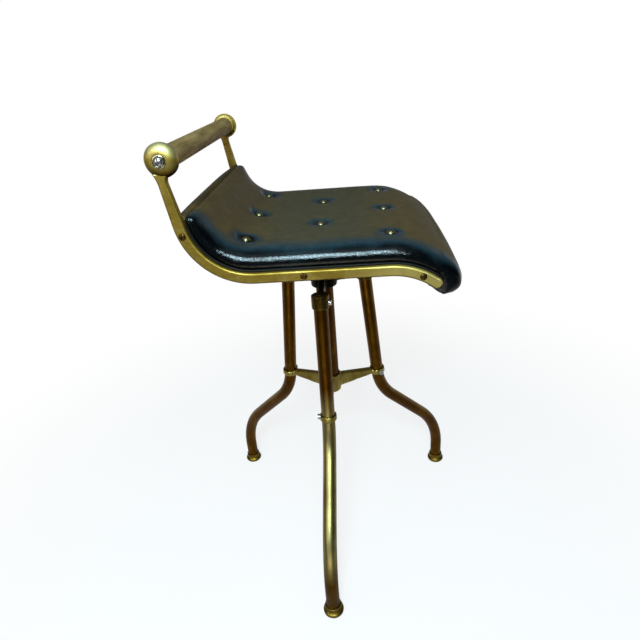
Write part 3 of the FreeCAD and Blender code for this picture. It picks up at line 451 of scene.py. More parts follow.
def turn_outline(bm, outline, steps=56):
    """Spins half an outline, given as radius and height, about Z."""
    points = [bm.verts.new((radius, 0.0, height)) for radius, height in outline]
    lines = [bm.edges.new(pair) for pair in zip(points, points[1:])]
    bmesh.ops.spin(
        bm, geom=points + lines, axis=(0, 0, 1), cent=(0, 0, 0), angle=2 * math.pi, steps=steps,
        use_merge=True,
    )
    bmesh.ops.remove_doubles(bm, verts=bm.verts, dist=MERGE_DISTANCE)
    bmesh.ops.recalc_face_normals(bm, faces=bm.faces)


def turned_copies(outline, places, steps):
    """One bmesh with the same turned piece at each place, which is a transform."""
    together = bmesh.new()
    for place in places:
        one = bmesh.new()
        turn_outline(one, outline, steps)
        bmesh.ops.transform(one, matrix=place, verts=one.verts)
        made = bpy.data.meshes.new("one turned piece")
        one.to_mesh(made)
        one.free()
        together.from_mesh(made)
        bpy.data.meshes.remove(made)
    return together


def smooth_points(bm, points, rounds):
    """Draws points towards their neighbours, a number of times."""
    for _ in range(rounds):
        bmesh.ops.smooth_vert(
            bm, verts=points, factor=0.5, use_axis_x=True, use_axis_y=True, use_axis_z=True
        )


def aimed(centre, direction):
    """The transform that stands a piece made along Z at a point, along a direction."""
    turn = Vector((0, 0, 1)).rotation_difference(Vector(direction)).to_matrix().to_4x4()
    return Matrix.Translation(centre) @ turn


def add_piece(piece, body, slot, *replaced):
    """Rides a piece on a CAD body and hides the nodes it stands for; the finish name it is given is not used.
    """
    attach(piece, body)
    if replaced:
        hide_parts(*replaced)
    print(piece.name, len(piece.data.polygons), "faces on", body)


def middle_of(node_name):
    """The middle of a CAD node's box."""
    low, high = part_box(node_name)
    return (low + high) / 2


print("mesh helpers ready")

# %% [markdown]
# ## Castings
# Both castings came out of sand moulds, so their edges are soft and each arm flows into its ring. CAD edges
# are crisp. A copy of the solid is merged, remeshed into even little squares and smoothed a few times,
# which melts the edges by about a millimetre and leaves the bores and faces where they were.

# %% Castings
CAST_NET = 0.0011
CAST_SMOOTHING = 6


def merged_copy(node_name):
    """A bmesh of a CAD node's mesh whose loose triangles are joined."""
    bm = bmesh.new()
    bm.from_mesh(cad_nodes[node_name].data)
    bmesh.ops.remove_doubles(bm, verts=bm.verts, dist=MERGE_DISTANCE)
    return bm


def even_net(piece, size):
    """Remeshes a closed piece into even faces of the given size."""
    remesh = piece.modifiers.new("even net", "REMESH")
    remesh.mode = "VOXEL"
    remesh.voxel_size = size
    apply_modifiers(piece)


def cast_piece(node_name, finish):
    """Replaces a CAD casting by a copy with soft edges."""
    piece = hand_over(merged_copy(node_name), node_name + "_cast", finish)
    even_net(piece, CAST_NET)
    bm = bmesh.new()
    bm.from_mesh(piece.data)
    smooth_points(bm, bm.verts, CAST_SMOOTHING)
    bm.to_mesh(piece.data)
    bm.free()
    piece.data.shade_smooth()
    add_piece(piece, "base", slot_of_node[node_name], node_name)


cast_piece("lower_spider", cast_brass)
# The upper casting takes the brass with painted shade from the seat above.
cast_piece("upper_spider", shaded_socket_brass)

# %% [markdown]
# ## Feet
# Each leg ends in a turned foot: a disc with a rounded rim, and a neck that hollows in towards the tube.
# Turned work is the natural use of spin. The outline goes from the sole's middle out round the rim and up
# the neck, and the three feet are the same outline set at three places.

# %% Feet
FOOT_OUTLINE = (
    (0.0002, 0.0), (0.0125, 0.0), (0.0152, 0.0008), (0.0163, 0.0026), (0.0165, 0.0046),
    (0.0160, 0.0064), (0.0146, 0.0076), (0.0134, 0.0084), (0.0127, 0.0098), (0.0124, 0.0118),
    (0.0126, 0.0138), (0.0132, 0.0154), (0.0131, 0.0166), (0.0124, 0.0170), (0.0114, 0.0170),
    (0.0113, 0.0120),
)
for number in (1, 2, 3):
    node_name = f"foot_{number}"
    centre = middle_of(node_name)
    bm = bmesh.new()
    turn_outline(bm, FOOT_OUTLINE)
    bmesh.ops.translate(bm, vec=(centre.x, centre.y, 0.0), verts=bm.verts)
    add_piece(hand_over(bm, node_name + "_turned", turned_brass), "base", "turned_brass", node_name)

# %% [markdown]
# ## Collars on the hand bar
# A brass collar with two ridges closes each end of the wooden bar. It is another turned piece, laid along
# X.

# %% Collars
COLLAR_OUTLINE = (
    (0.0134, 0.0), (0.0150, 0.0), (0.0158, 0.0003), (0.0162, 0.0012), (0.0158, 0.0021),
    (0.0152, 0.0025), (0.0156, 0.0029), (0.0166, 0.0034), (0.0170, 0.0044), (0.0167, 0.0054),
    (0.0158, 0.0059), (0.0134, 0.0059),
)
for side, outward in (("left", 1.0), ("right", -1.0)):
    node_name = f"bar_collar_{side}"
    low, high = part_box(node_name)
    inner_end = Vector((low.x if outward > 0 else high.x, (low.y + high.y) / 2, (low.z + high.z) / 2))
    bm = bmesh.new()
    turn_outline(bm, COLLAR_OUTLINE + COLLAR_OUTLINE[:1])
    bmesh.ops.transform(bm, matrix=aimed(inner_end, (outward, 0, 0)), verts=bm.verts)
    collar = hand_over(bm, node_name + "_turned", rail_brass)
    add_piece(collar, "seat", slot_of_node[node_name], node_name)

# %% [markdown]
# ## Cup washers
# A bright cup washer lies under the screw on each eye, with a raised round rim. It is turned like the
# collars.

# %% Cup washers
CUP_OUTLINE = (
    (0.0048, 0.0), (0.0048, 0.0009), (0.0053, 0.0013), (0.0058, 0.0020), (0.0064, 0.0024),
    (0.0071, 0.0023), (0.0077, 0.0017), (0.0080, 0.0008), (0.0080, 0.0), (0.0048, 0.0),
)
CUP_DEPTH = 0.0020
low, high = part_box("handle_washers")
cup_out = high.x - CUP_DEPTH
cup_places = [
    aimed(Vector((outward * cup_out, (low.y + high.y) / 2, (low.z + high.z) / 2)), (outward, 0, 0))
    for outward in (1.0, -1.0)
]
cups = hand_over(turned_copies(CUP_OUTLINE, cup_places, steps=40), "handle_cups", polished_brass)
add_piece(cups, "seat", slot_of_node["handle_washers"], "handle_washers")

# %% [markdown]
# ## The seat's curve
# Rails, board and leather all follow one line, seen from the side: a level middle, a bend down over the
# front edge and a tighter bend up into the low back. A short function says how far a point stands off that
# line, so the leather's wear and fullness can follow the curve as the real ones do.

# %% The seat's curve
LINE_HEIGHT = 0.566
FRONT_FLAT, FRONT_BEND = 0.092, 0.091
REAR_FLAT, REAR_BEND = 0.075, 0.083


def rise_above_line(point):
    """How far a point stands off the seat's line."""
    if point.y > REAR_FLAT:
        centre = Vector((REAR_FLAT, LINE_HEIGHT + REAR_BEND))
        return REAR_BEND - (Vector((point.y, point.z)) - centre).length
    if point.y < -FRONT_FLAT:
        centre = Vector((-FRONT_FLAT, LINE_HEIGHT - FRONT_BEND))
        return (Vector((point.y, point.z)) - centre).length - FRONT_BEND
    return point.z - LINE_HEIGHT


print("seat line from", -FRONT_FLAT, "to", REAR_FLAT, "at", LINE_HEIGHT)

# %% [markdown]
# ## Leather
# The seat is covered in black grained leather. On top, where people sit, it is worn, and its soft olive satin
# colour there, greyer in the middle and browner towards the front and the back, is partly a painted
# reflection of the room. The sides, which nobody touches, are glossy blue-black. An attribute on the mesh
# says how worn each point is and where the painted sheen lies, and the material mixes its colours and its
# gloss by it, with a painted bluish reflection between the two. The grain is a net of small cells, from a
# Voronoi texture whose cell edges are the creases, broken up by noise. The thinner brown leather of the back
# and the dull black welt use the same recipe with clouds in place of the attribute.

# %% Leather finishes
PATCHINESS, SCUFFING = 0.5, 0.18
BROWNER = (1.45, 1.05, 0.68)
GREY_FROM, GREY_TO, GREY_FADE, GREY_SHARE = -0.05, 0.04, 0.07, 0.9
CELL_BEND = 0.0016
PEBBLE_DEPTH, LUMP_DEPTH = 0.00008, 0.0002


def leather_finish(name, fresh, middle_tone, worn, fresh_gloss, worn_gloss, cell, attribute=None, ior=1.4):
    """Grained leather, fresh to worn by an attribute that also places painted sheen, or, without one, by
    clouds.
    """
    material, tree, shader, place = start_finish(name, IOR=ior)
    clouds = noise(tree, place, 16.0, detail=6.0)
    if attribute is None:
        rubbed_and_sheen = ramp(tree, clouds, (0.35, 0.0), (0.65, 1.0))
    else:
        wear_and_sheen = add_node(tree, "ShaderNodeAttribute", attribute_name=attribute).outputs["Fac"]
        patchy = calculate(tree, "ADD", wear_and_sheen, around_zero(tree, clouds, PATCHINESS))
        rubbed_and_sheen = ramp(tree, patchy, (0.08, 0.0), (0.8, 1.0))
    browner = tuple(value * change for value, change in zip(worn, BROWNER))
    along = add_node(tree, "ShaderNodeSeparateXYZ", {"Vector": place}).outputs["Y"]
    greyed = between(tree, along, GREY_FROM, GREY_TO, GREY_FADE)
    tone = blend_colours(tree, calculate(tree, "MULTIPLY", greyed, GREY_SHARE), browner, worn)
    # From the fresh colour to the middle tone, which on the black leather is a painted bluish reflection.
    unworn_and_sheen = ramp(tree, rubbed_and_sheen, (0.0, fresh), (0.3, middle_tone))
    colour = blend_colours(tree, ramp(tree, rubbed_and_sheen, (0.3, 0.0), (1.0, 1.0)), unworn_and_sheen, tone)
    mottle = ramp(tree, noise(tree, place, 70.0, detail=5.0), (0.3, 0.72), (0.7, 1.0))
    colour = blend_colours(tree, 1.0, colour, mottle, "MULTIPLY")
    tree.links.new(colour, shader.inputs["Base Color"])
    scuffs = noise(tree, place, 160.0, detail=5.0, roughness=0.65)
    gloss = ramp(tree, rubbed_and_sheen, (0.0, fresh_gloss), (1.0, worn_gloss))
    scatter = around_zero(tree, scuffs, SCUFFING)
    tree.links.new(calculate(tree, "ADD", gloss, scatter), shader.inputs["Roughness"])
    bent = add_node(
        tree, "ShaderNodeTexNoise", {"Vector": place, "Scale": 300.0, "Detail": 2.0}
    ).outputs["Color"]
    cells_at = blend_colours(tree, CELL_BEND, place, bent, "ADD")
    cells = add_node(
        tree, "ShaderNodeTexVoronoi", {"Vector": cells_at, "Scale": 1.0 / cell}, feature="DISTANCE_TO_EDGE"
    ).outputs["Distance"]
    pebbles = ramp(tree, cells, (0.0, 0.0), (0.3, 1.0))
    grain_left = ramp(tree, rubbed_and_sheen, (0.0, 1.0), (0.4, 0.2), (1.0, 0.05))
    first = relief(tree, shader, pebbles, PEBBLE_DEPTH, strength=grain_left)
    lumps = noise(tree, place, 55.0, detail=4.0)
    relief(tree, shader, lumps, LUMP_DEPTH, strength=grain_left, under=first)
    return material


# The middle tone is a painted bluish reflection on the shoulders and in the dimples, and the worn olive is
# partly a painted reflection of the room on top.
black_leather = leather_finish(
    "black_leather", (0.001, 0.0018, 0.0022), (0.016, 0.042, 0.056), (0.07, 0.06, 0.028),
    fresh_gloss=0.135, worn_gloss=0.56, cell=0.0018, attribute="wear_and_sheen", ior=1.5,
)
brown_leather = leather_finish(
    "brown_leather", (0.06, 0.045, 0.017), (0.075, 0.058, 0.023), (0.095, 0.075, 0.031),
    fresh_gloss=0.5, worn_gloss=0.6, cell=0.0013, ior=1.25,
)
welt_leather = leather_finish(
    "welt_leather", (0.0012, 0.0016, 0.0018), (0.004, 0.005, 0.005), (0.009, 0.009, 0.007),
    fresh_gloss=0.5, worn_gloss=0.6, cell=0.0013, ior=1.3,
)
print("three leather finishes")

# %% [markdown]
# ## Buttons
# Eight small brass buttons pull the leather down. Each has a flat rim and a low dome, so again a spun
# outline serves. The CAD node holds all eight with their shanks: its separate islands give each button's
# place, and the longest direction of an island is the shank's, which says how the button leans on the
# curved seat.

# %% Buttons
BUTTON_OUTLINE = (
    (0.0012, -0.0060), (0.0012, -0.0012), (0.0046, -0.0012), (0.0060, -0.0006), (0.0063, 0.0004),
    (0.0058, 0.0012), (0.0050, 0.0010), (0.0046, 0.0013), (0.0040, 0.0022), (0.0028, 0.0030),
    (0.0014, 0.0034), (0.0002, 0.0035),
)
SHANK_END, CROWN_BAND = 0.004, 0.0006
ROW_DIGITS = 2


def islands(bm):
    """The separate shells of a bmesh, each as a list of points."""
    waiting = set(bm.verts)
    while waiting:
        shell, edge_of_search = [], [waiting.pop()]
        while edge_of_search:
            vertex = edge_of_search.pop()
            shell.append(vertex.co.copy())
            for edge in vertex.link_edges:
                other = edge.other_vert(vertex)
                if other in waiting:
                    waiting.remove(other)
                    edge_of_search.append(other)
        yield shell


button_places = []
cad_buttons = merged_copy("seat_buttons")
for shell in islands(cad_buttons):
    middle = sum(shell, Vector()) / len(shell)
    foot = max(shell, key=lambda point: (point - middle).length)
    ends = [point for point in shell if (point - foot).length < SHANK_END]
    base = sum(ends, Vector()) / len(ends)
    far = max((point - base).length for point in shell)
    crown = [point for point in shell if (point - base).length > far - CROWN_BAND]
    top = sum(crown, Vector()) / len(crown)
    button_places.append((top, (top - base).normalized()))
cad_buttons.free()
button_places.sort(key=lambda place: (round(place[0].y, ROW_DIGITS), round(place[0].x, ROW_DIGITS)))
print(len(button_places), "buttons, first at", tuple(round(value, 4) for value in button_places[0][0]))

# %% Turn the buttons
CROWN_HEIGHT = 0.0035
turned_at = [aimed(top - lean * CROWN_HEIGHT, lean) for top, lean in button_places]
buttons = hand_over(turned_copies(BUTTON_OUTLINE, turned_at, steps=32), "seat_buttons_turned", button_brass)
add_piece(buttons, "seat", "button_brass", "seat_buttons")

# %% [markdown]
# ## The cushion
# A stuffed leather seat is tight where it is nailed and buttoned, and swells between. Cloth simulation
# finds that shape: a copy of the CAD pad is remeshed, everything that touches the board, the rear cover or
# a button is pinned, and a little pressure inside blows up the rest. It starts slightly small, and no point
# may travel far, so the cushion keeps the outline that the photograph gave.

# %% Cushion net and its pins
PAD_NET = 0.0045
PAD_START = 0.0015
PAD_TRAVEL = 0.005
PAD_SINK = 0.0005
PAD_PRESSURE = 4.0
PAD_FRAMES, PAD_STEPS = 20, 6
PAD_STIFFNESS, PAD_BENDING = 12.0, 0.6
cushion = hand_over(merged_copy("seat_pad"), "seat_cushion", black_leather)
even_net(cushion, PAD_NET)


def surface_of(node_name):
    """A search tree over a CAD node's faces, to ask how near a point is."""
    bm = merged_copy(node_name)
    tree = BVHTree.FromBMesh(bm)
    bm.free()
    return tree


HOLD_REACH = {"seat_board": 0.0045, "rear_cover": 0.004, "seat_buttons": 0.006}
holders = [(surface_of(node_name), reach) for node_name, reach in HOLD_REACH.items()]
held = [
    any(surface.find_nearest(vertex.co)[3] < reach for surface, reach in holders)
    for vertex in cushion.data.vertices
]
print(len(held), "points in the cushion,", sum(held), "held")

# %% Swell the cushion
def swell(piece, held_points):
    """Blows the free points up with cloth pressure and caps how far they go."""
    start = [vertex.co.copy() for vertex in piece.data.vertices]
    normals = [vertex.normal.copy() for vertex in piece.data.vertices]
    pins = piece.vertex_groups.new(name="held")
    pins.add([index for index, value in enumerate(held_points) if value], 1.0, "REPLACE")
    for vertex, normal, is_held in zip(piece.data.vertices, normals, held_points):
        if not is_held:
            vertex.co -= normal * PAD_START
    cloth = piece.modifiers.new("stuffing", "CLOTH")
    cloth.settings.quality = PAD_STEPS
    cloth.settings.use_pressure = True
    cloth.settings.uniform_pressure_force = PAD_PRESSURE
    cloth.settings.effector_weights.gravity = 0.0
    cloth.settings.vertex_group_mass = "held"
    cloth.settings.tension_stiffness = PAD_STIFFNESS
    cloth.settings.compression_stiffness = PAD_STIFFNESS
    cloth.settings.bending_stiffness = PAD_BENDING
    cloth.point_cache.frame_start = 1
    cloth.point_cache.frame_end = PAD_FRAMES
    for number in range(1, PAD_FRAMES + 1):
        scene.frame_set(number)
    seen = bpy.context.evaluated_depsgraph_get()
    blown = [vertex.co.copy() for vertex in piece.evaluated_get(seen).data.vertices]
    piece.modifiers.clear()
    piece.vertex_groups.clear()
    scene.frame_set(1)
    furthest = 0.0
    for vertex, first, last, normal in zip(piece.data.vertices, start, blown, normals):
        travel = last - first
        sunk = -travel.dot(normal) - PAD_SINK
        if sunk > 0.0:
            travel += normal * sunk
        if travel.length > PAD_TRAVEL:
            travel *= PAD_TRAVEL / travel.length
        vertex.co = first + travel
        furthest = max(furthest, travel.length)
    return furthest


print("swollen by up to", round(swell(cushion, held) * 1000, 2), "mm")

# %% [markdown]
# ## Pleats, valleys and rims
# Simulation leaves faint steps of the net in the open leather, so that is smoothed first. The pull of each
# button also draws short pleats round it and shallow valleys towards its neighbours. These are pressed in
# along the normals, because they are narrower than the net could carry on its own. Last, the leather beside
# a button is brought down under the button's rim.

# %% Pleats and valleys
PLEAT_DEPTH, PLEAT_COUNT = 0.0005, 7
PLEAT_START, PLEAT_REACH, PLEAT_END = 0.006, 0.026, 0.039
VALLEY_DEPTH, VALLEY_WIDTH, VALLEY_END = 0.0007, 0.012, 3.0
VALLEY_LEFT = 0.45
NEIGHBOUR_REACH, ROW_WIDTH = 0.135, 0.02


def valley_lines():
    """Pairs of buttons that are near enough for the leather to fold between them."""
    for number, (first, _) in enumerate(button_places):
        for second, _ in button_places[number + 1:]:
            if abs(first.x - second.x) > ROW_WIDTH and (first - second).length < NEIGHBOUR_REACH:
                yield first, second


def press(point, lines):
    """How deep the leather is drawn in at a point."""
    depth = 0.0
    for number, (top, lean) in enumerate(button_places):
        away = point - top
        away -= lean * away.dot(lean)
        reach = away.length
        if reach < PLEAT_END:
            angle = math.atan2(away.y, away.x)
            wave = 0.5 + 0.5 * math.cos(PLEAT_COUNT * angle + number)
            fade = math.exp(-((reach / PLEAT_REACH) ** 2)) * min(1.0, reach / PLEAT_START)
            depth += PLEAT_DEPTH * wave * fade
    for first, second in lines:
        span = second - first
        share = max(0.0, min(1.0, (point - first).dot(span) / span.length_squared))
        off = (point - (first + span * share)).length
        side = off / VALLEY_WIDTH
        if side < VALLEY_END:
            fade = VALLEY_LEFT + (1.0 - VALLEY_LEFT) * abs(2.0 * share - 1.0)
            depth += VALLEY_DEPTH * fade * math.exp(-side * side)
    return depth


folds = list(valley_lines())
print(len(folds), "valleys between buttons")

# %% Leather under the rims
RIM_SEAT = 0.0045
RIM_REACH, DISH_REACH = 0.007, 0.013
DISH_SLOPE = 0.7


def below_rim(point):
    """The move that brings leather beside a button down under the button's rim."""
    for top, lean in button_places:
        away = point - top
        height = away.dot(lean)
        reach = (away - lean * height).length
        limit = max(0.0, reach - RIM_REACH) * DISH_SLOPE - RIM_SEAT
        if reach < DISH_REACH and height > limit:
            return lean * (limit - height)
    return Vector()


print("leather dips within", DISH_REACH * 1000, "mm of each button")

# %% Smooth and press the leather
SMOOTH_TOP, SMOOTH_ROUNDS = 0.02, 10
NEAR_BUTTON = 0.016
shaped = bmesh.new()
shaped.from_mesh(cushion.data)
open_top = [
    vertex for vertex, is_held in zip(shaped.verts, held)
    if not is_held and rise_above_line(vertex.co) > SMOOTH_TOP
    and min((vertex.co - top).length for top, _ in button_places) > NEAR_BUTTON
]
smooth_points(shaped, open_top, SMOOTH_ROUNDS)
shaped.to_mesh(cushion.data)
shaped.free()
print(len(open_top), "points smoothed on the top")
moves = [
    Vector() if is_held else -vertex.normal * press(vertex.co, folds)
    for vertex, is_held in zip(cushion.data.vertices, held)
]
for vertex, move in zip(cushion.data.vertices, moves):
    vertex.co += move
    vertex.co += below_rim(vertex.co)
print("deepest press", round(max(move.length for move in moves) * 1000, 2), "mm")

# %% [markdown]
# ## Sides and front roll
# The stuffing presses hardest against the sides, which stand out over the rails and so catch one long
# highlight, and the front edge is a full round roll. A smooth push outwards at one height fills the sides,
# and the roll is smoothed and then pushed out along its normals. The attribute of wear and painted sheen is
# written next: high on top between the rails, where the olive colour is partly a painted reflection, low near
# the buttons, where it leaves painted shade and a painted bluish reflection in each dimple, and none on the
# sides. A subdivision rounds the net last.

# %% Fill out the sides
SIDE_BULGE, SIDE_RISE, SIDE_SPREAD = 0.0019, 0.0235, 0.009
SIDE_FROM, SIDE_TO = 0.13, 0.165


def step_up(value, low, high):
    """0 below one value, 1 above another, and a smooth step between."""
    share = max(0.0, min(1.0, (value - low) / (high - low)))
    return share * share * (3.0 - 2.0 * share)


for vertex in cushion.data.vertices:
    height = (rise_above_line(vertex.co) - SIDE_RISE) / SIDE_SPREAD
    fullness = SIDE_BULGE * step_up(abs(vertex.co.x), SIDE_FROM, SIDE_TO) * math.exp(-height * height)
    vertex.co.x += math.copysign(fullness, vertex.co.x)
print("sides stand out to", round(max(vertex.co.x for vertex in cushion.data.vertices), 4), "m")

# %% Round the front roll
NOSE_START, NOSE_HEIGHT = -0.158, 0.575
NOSE_SMOOTHING, NOSE_FULLNESS = 8, 0.0018
shaped = bmesh.new()
shaped.from_mesh(cushion.data)
nose = [vertex for vertex in shaped.verts if vertex.co.y < NOSE_START and vertex.co.z < NOSE_HEIGHT]
smooth_points(shaped, nose, NOSE_SMOOTHING)
shaped.normal_update()
for vertex in nose:
    vertex.co += vertex.normal * NOSE_FULLNESS
shaped.to_mesh(cushion.data)
shaped.free()
print(len(nose), "points rounded in the front roll")

# %% Wear, painted sheen and roundness of the cushion
SHEEN_WEAR_FROM, SHEEN_WEAR_TO = 0.184, 0.112
SHEEN_WEAR_LOW, SHEEN_WEAR_HIGH = 0.008, 0.031
BACK_EDGE = (0.622, 0.638)
DIMPLE_SHADE_LEVEL, DIMPLE_SHADE_SIZE = 0.12, (0.007, 0.03)
wear_and_sheen = cushion.data.attributes.new("wear_and_sheen", "FLOAT", "POINT")
for vertex, item in zip(cushion.data.vertices, wear_and_sheen.data):
    inward = step_up(-abs(vertex.co.x), -SHEEN_WEAR_FROM, -SHEEN_WEAR_TO)
    nearest = min((vertex.co - top).length for top, _ in button_places)
    # Painted shade and painted bluish reflection: near each button the value drops, leaving dark bluish
    # leather in the dimple.
    outside_dimple_shade = DIMPLE_SHADE_LEVEL + (1.0 - DIMPLE_SHADE_LEVEL) * step_up(nearest, *DIMPLE_SHADE_SIZE)
    on_top = step_up(rise_above_line(vertex.co), SHEEN_WEAR_LOW, SHEEN_WEAR_HIGH)
    item.value = outside_dimple_shade * inward * max(on_top, step_up(vertex.co.z, *BACK_EDGE))
rounding = cushion.modifiers.new("roundness", "SUBSURF")
rounding.levels = rounding.render_levels = 1
cushion.data.materials.clear()
cushion.data.materials.append(black_leather)
cushion.data.shade_smooth()
add_piece(cushion, "seat", "black_leather", "seat_pad")

# %% [markdown]
# ## The welt
# A thin leather welt hides where the seat's cover meets each rail. It is one small circle carried along the
# seat's line: spun down the front bend, extruded along the level middle and spun up the rear bend, then
# mirrored.

# %% Welt
WELT_RADIUS = 0.0014
WELT_RISE, WELT_OUT = 0.0087, 0.1754
FRONT_SWEEP = math.radians(38.0)
REAR_SWEEP = math.radians(80.0)
welt = bmesh.new()
ring = bmesh.ops.create_circle(welt, cap_ends=False, segments=12, radius=WELT_RADIUS)["verts"]
start_at = Matrix.Translation((-WELT_OUT, -FRONT_FLAT, LINE_HEIGHT + WELT_RISE))
bmesh.ops.transform(welt, matrix=start_at @ Matrix.Rotation(quarter, 4, "X"), verts=ring)
ring_edges = list(welt.edges)
drawn = bmesh.ops.extrude_edge_only(welt, edges=ring_edges)["geom"]
level_end = [item for item in drawn if isinstance(item, bmesh.types.BMVert)]
level_edges = [item for item in drawn if isinstance(item, bmesh.types.BMEdge)]
bmesh.ops.translate(welt, vec=(0, FRONT_FLAT + REAR_FLAT, 0), verts=level_end)
bmesh.ops.spin(
    welt, geom=level_end + level_edges, axis=(1, 0, 0), angle=REAR_SWEEP, steps=36,
    cent=(-WELT_OUT, REAR_FLAT, LINE_HEIGHT + REAR_BEND),
)
bmesh.ops.spin(
    welt, geom=ring + ring_edges, axis=(1, 0, 0), angle=FRONT_SWEEP, steps=20,
    cent=(-WELT_OUT, -FRONT_FLAT, LINE_HEIGHT - FRONT_BEND),
)
bmesh.ops.holes_fill(welt, edges=[edge for edge in welt.edges if edge.is_boundary], sides=16)
whole = welt.verts[:] + welt.edges[:] + welt.faces[:]
bmesh.ops.mirror(welt, geom=whole, axis="X", merge_dist=MERGE_DISTANCE)
bmesh.ops.remove_doubles(welt, verts=welt.verts, dist=MERGE_DISTANCE)
bmesh.ops.recalc_face_normals(welt, faces=welt.faces)
add_piece(hand_over(welt, "seat_welt", welt_leather), "seat", "black_leather")

# %% [markdown]
# ## Rear cover
# Behind the low back the board is closed with thinner brown leather, which turns over the top edge as a
# narrow strip. The CAD sheet has the right course, so a remeshed and smoothed copy of it gives the soft
# edges of folded leather. Its outer face is then pushed out a little in the middle, where leather stretched
# over stuffing bulges.

# %% Rear cover
COVER_NET, COVER_SMOOTHING = 0.0011, 4
COVER_HALF, COVER_BULGE = 0.172, 0.0045
COVER_LIFT = (0.575, 0.635)
FACE_GAIN, EDGE_POWER = 1.6, 4
cover = hand_over(merged_copy("rear_cover"), "rear_leather", brown_leather)
even_net(cover, COVER_NET)
bm = bmesh.new()
bm.from_mesh(cover.data)
smooth_points(bm, bm.verts, COVER_SMOOTHING)
bm.normal_update()
for vertex in bm.verts:
    outside = max(0.0, min(1.0, FACE_GAIN * vertex.normal.y))
    across = 1.0 - min(1.0, abs(vertex.co.x) / COVER_HALF) ** EDGE_POWER
    vertex.co.y += COVER_BULGE * outside * across * step_up(vertex.co.z, *COVER_LIFT)
bm.to_mesh(cover.data)
bm.free()
cover.data.shade_smooth()
add_piece(cover, "seat", "brown_leather", "rear_cover")

# %% [markdown]
# ## Piping along the back
# Where the seat's black leather meets the brown cover, at the top of the low back, a cord covered in the
# brown leather closes the seam. It is one circle extruded from rail to rail along the cover's highest edge,
# with rounded ends.

# %% Piping along the back
PIPING_RADIUS = 0.0034
PIPING_HALF = 0.1722
PIPING_SINK = 0.0022
PIPING_ROUND, CORNER_ANGLE = 0.0014, 1.0
seam = max((vertex.co for vertex in cad_nodes["rear_cover"].data.vertices), key=lambda point: point.z)
piping = bmesh.new()
bmesh.ops.create_circle(piping, cap_ends=True, segments=20, radius=PIPING_RADIUS)
start_face = list(piping.faces)
drawn = bmesh.ops.extrude_face_region(piping, geom=start_face, use_keep_orig=True)["geom"]
far_end = [item for item in drawn if isinstance(item, bmesh.types.BMVert)]
bmesh.ops.translate(piping, vec=(0, 0, 2 * PIPING_HALF), verts=far_end)
bmesh.ops.recalc_face_normals(piping, faces=piping.faces)
ends = [edge for edge in piping.edges if edge.calc_face_angle() > CORNER_ANGLE]
bmesh.ops.bevel(
    piping, geom=ends, offset=PIPING_ROUND, affect="EDGES", segments=3, profile=0.5, material=-1
)
along_seam = aimed(Vector((-PIPING_HALF, seam.y, seam.z - PIPING_SINK)), (1, 0, 0))
bmesh.ops.transform(piping, matrix=along_seam, verts=piping.verts)
add_piece(hand_over(piping, "back_piping", brown_leather), "seat", "brown_leather")

# %% [markdown]
# ## Floor, light and background
# The stool stands on a pale floor in an even white room. The floor fades into plain white away from the
# stool, so there is no horizon. A high window, brighter in its middle, draws the long highlight along the
# seat's side. A large lamp overhead fills the top, one beside the hand bar lights the wood and the eyes,
# and a low panel warms the shins. The camera sees white all round, while reflections meet a pale backdrop
# on one side and a dark room on the other, so that brass and leather keep their contrast. Matt surfaces get
# less of the room, so that the lamps still shape them.

# %% Floor
FLOOR_SIZE = 6.0
NEAR_WHITE = 0.75
WHITE_FROM, WHITE_TO = 0.35, 1.1
PALE_END, DARK_END = 0.6, 0.05
DARK_FROM, DARK_TO = 0.3, -0.4


def sight(tree):
    """Rays from the camera, and those together with rays off gloss or through glass."""
    rays = tree.nodes.new("ShaderNodeLightPath").outputs
    seen = calculate(tree, "MAXIMUM", rays["Is Camera Ray"], rays["Is Glossy Ray"])
    return rays["Is Camera Ray"], calculate(tree, "MAXIMUM", seen, rays["Is Transmission Ray"])


floor_mesh = bmesh.new()
bmesh.ops.create_grid(floor_mesh, x_segments=1, y_segments=1, size=FLOOR_SIZE)
floor_material, tree, shader, place = start_finish("pale_floor", Roughness=0.9, Specular_IOR_Level=0.0)
shade = noise(tree, place, 3.0, detail=3.0)
tree.links.new(ramp(tree, shade, (0.3, 0.9), (0.7, 0.93)), shader.inputs["Base Color"])
distance = add_node(tree, "ShaderNodeVectorMath", {0: place}, operation="LENGTH").outputs["Value"]
far_white = map_range(
    tree, distance, WHITE_FROM, WHITE_TO, start=NEAR_WHITE, interpolation_type="SMOOTHSTEP"
)
from_camera, seen_white = sight(tree)
across = add_node(tree, "ShaderNodeSeparateXYZ", {"Vector": place}).outputs["X"]
paper = map_range(tree, across, DARK_TO, DARK_FROM, DARK_END, PALE_END)
paper = calculate(tree, "MAXIMUM", paper, from_camera)
white = add_node(tree, "ShaderNodeEmission", {"Color": (1, 1, 1, 1), "Strength": paper}).outputs["Emission"]
mixed = add_node(
    tree, "ShaderNodeMixShader",
    {0: calculate(tree, "MULTIPLY", far_white, seen_white), 1: shader.outputs["BSDF"], 2: white},
)
tree.links.new(mixed.outputs["Shader"], tree.nodes["Material Output"].inputs["Surface"])
floor = hand_over(floor_mesh, "studio_floor", floor_material)
print("floor", 2 * FLOOR_SIZE, "m square")

# %% Lamps
SEAT_SIDE = (0, 0.05, 0.6)
SKY, BRIGHT_SKY, HIGH_SKY = (0.72, 0.93, 1.0), (0.54, 0.85, 1.0), (0.66, 0.9, 1.0)
WARM_WHITE, WARM_GLOW = (1.0, 0.98, 0.94), (1.0, 0.95, 0.86)


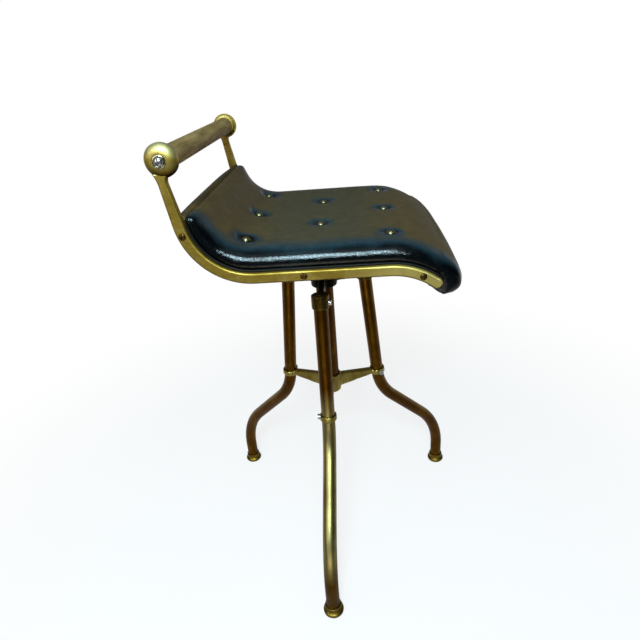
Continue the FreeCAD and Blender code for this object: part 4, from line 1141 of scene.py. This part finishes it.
def softbox(name, place, target, width, height, power, colour):
    """A lamp with a lit rectangle, which the camera itself doesn't see."""
    lamp = bpy.data.lights.new(name, "AREA")
    lamp.shape = "RECTANGLE"
    lamp.size, lamp.size_y = width, height
    lamp.energy = power
    lamp.color = colour
    box = bpy.data.objects.new(name, lamp)
    scene.collection.objects.link(box)
    aim = Vector(target) - Vector(place)
    box.matrix_world = Matrix.Translation(place) @ aim.to_track_quat("-Z", "Y").to_matrix().to_4x4()
    box.visible_camera = False


softbox("window_softbox", (-1.75, 0.05, 1.85), SEAT_SIDE, 0.95, 0.45, 24.0, SKY)
softbox("window_middle", (-1.74, 0.1, 1.84), SEAT_SIDE, 0.32, 0.6, 30.0, BRIGHT_SKY)
softbox("overhead_softbox", (-0.9, 0.1, 2.7), (0, 0, 0.5), 2.4, 1.8, 8.0, HIGH_SKY)
softbox("hand_bar_softbox", (-1.55, 1.35, 1.35), (-0.18, 0.16, 0.71), 1.3, 1.3, 10.6, WARM_WHITE)
softbox("floor_panel", (-0.65, 0.05, 0.01), (-0.2, 0.05, 0.4), 0.5, 0.4, 1.0, WARM_GLOW)
print(len(bpy.data.lights), "lamps")

# %% White room
MATT_LIGHT = 0.28
DARK_ROOM, BACKDROP = 0.07, 0.7
ROOM_TURN = (0.1, 0.6)
CEILING, CEILING_TURN = 0.1, (-0.1, 0.2)
world = bpy.data.worlds.new("white_room")
world.use_nodes = True
scene.world = world
tree = world.node_tree
from_camera, seen_white = sight(tree)
facing = tree.nodes.new("ShaderNodeTexCoord").outputs["Generated"]
split = add_node(tree, "ShaderNodeSeparateXYZ", {"Vector": facing}).outputs
backdrop = map_range(tree, split["X"], *ROOM_TURN, DARK_ROOM, BACKDROP)
ceiling = map_range(tree, split["Z"], *CEILING_TURN, 1.0, CEILING)
backdrop = calculate(tree, "MULTIPLY", backdrop, ceiling)
backdrop = calculate(tree, "MAXIMUM", backdrop, from_camera)
strength = map_range(tree, seen_white, 0.0, 1.0, MATT_LIGHT, backdrop)
tree.nodes["Background"].inputs["Color"].default_value = (1.0, 1.0, 1.0, 1.0)
tree.links.new(strength, tree.nodes["Background"].inputs["Strength"])
print("room from", DARK_ROOM, "to", BACKDROP)
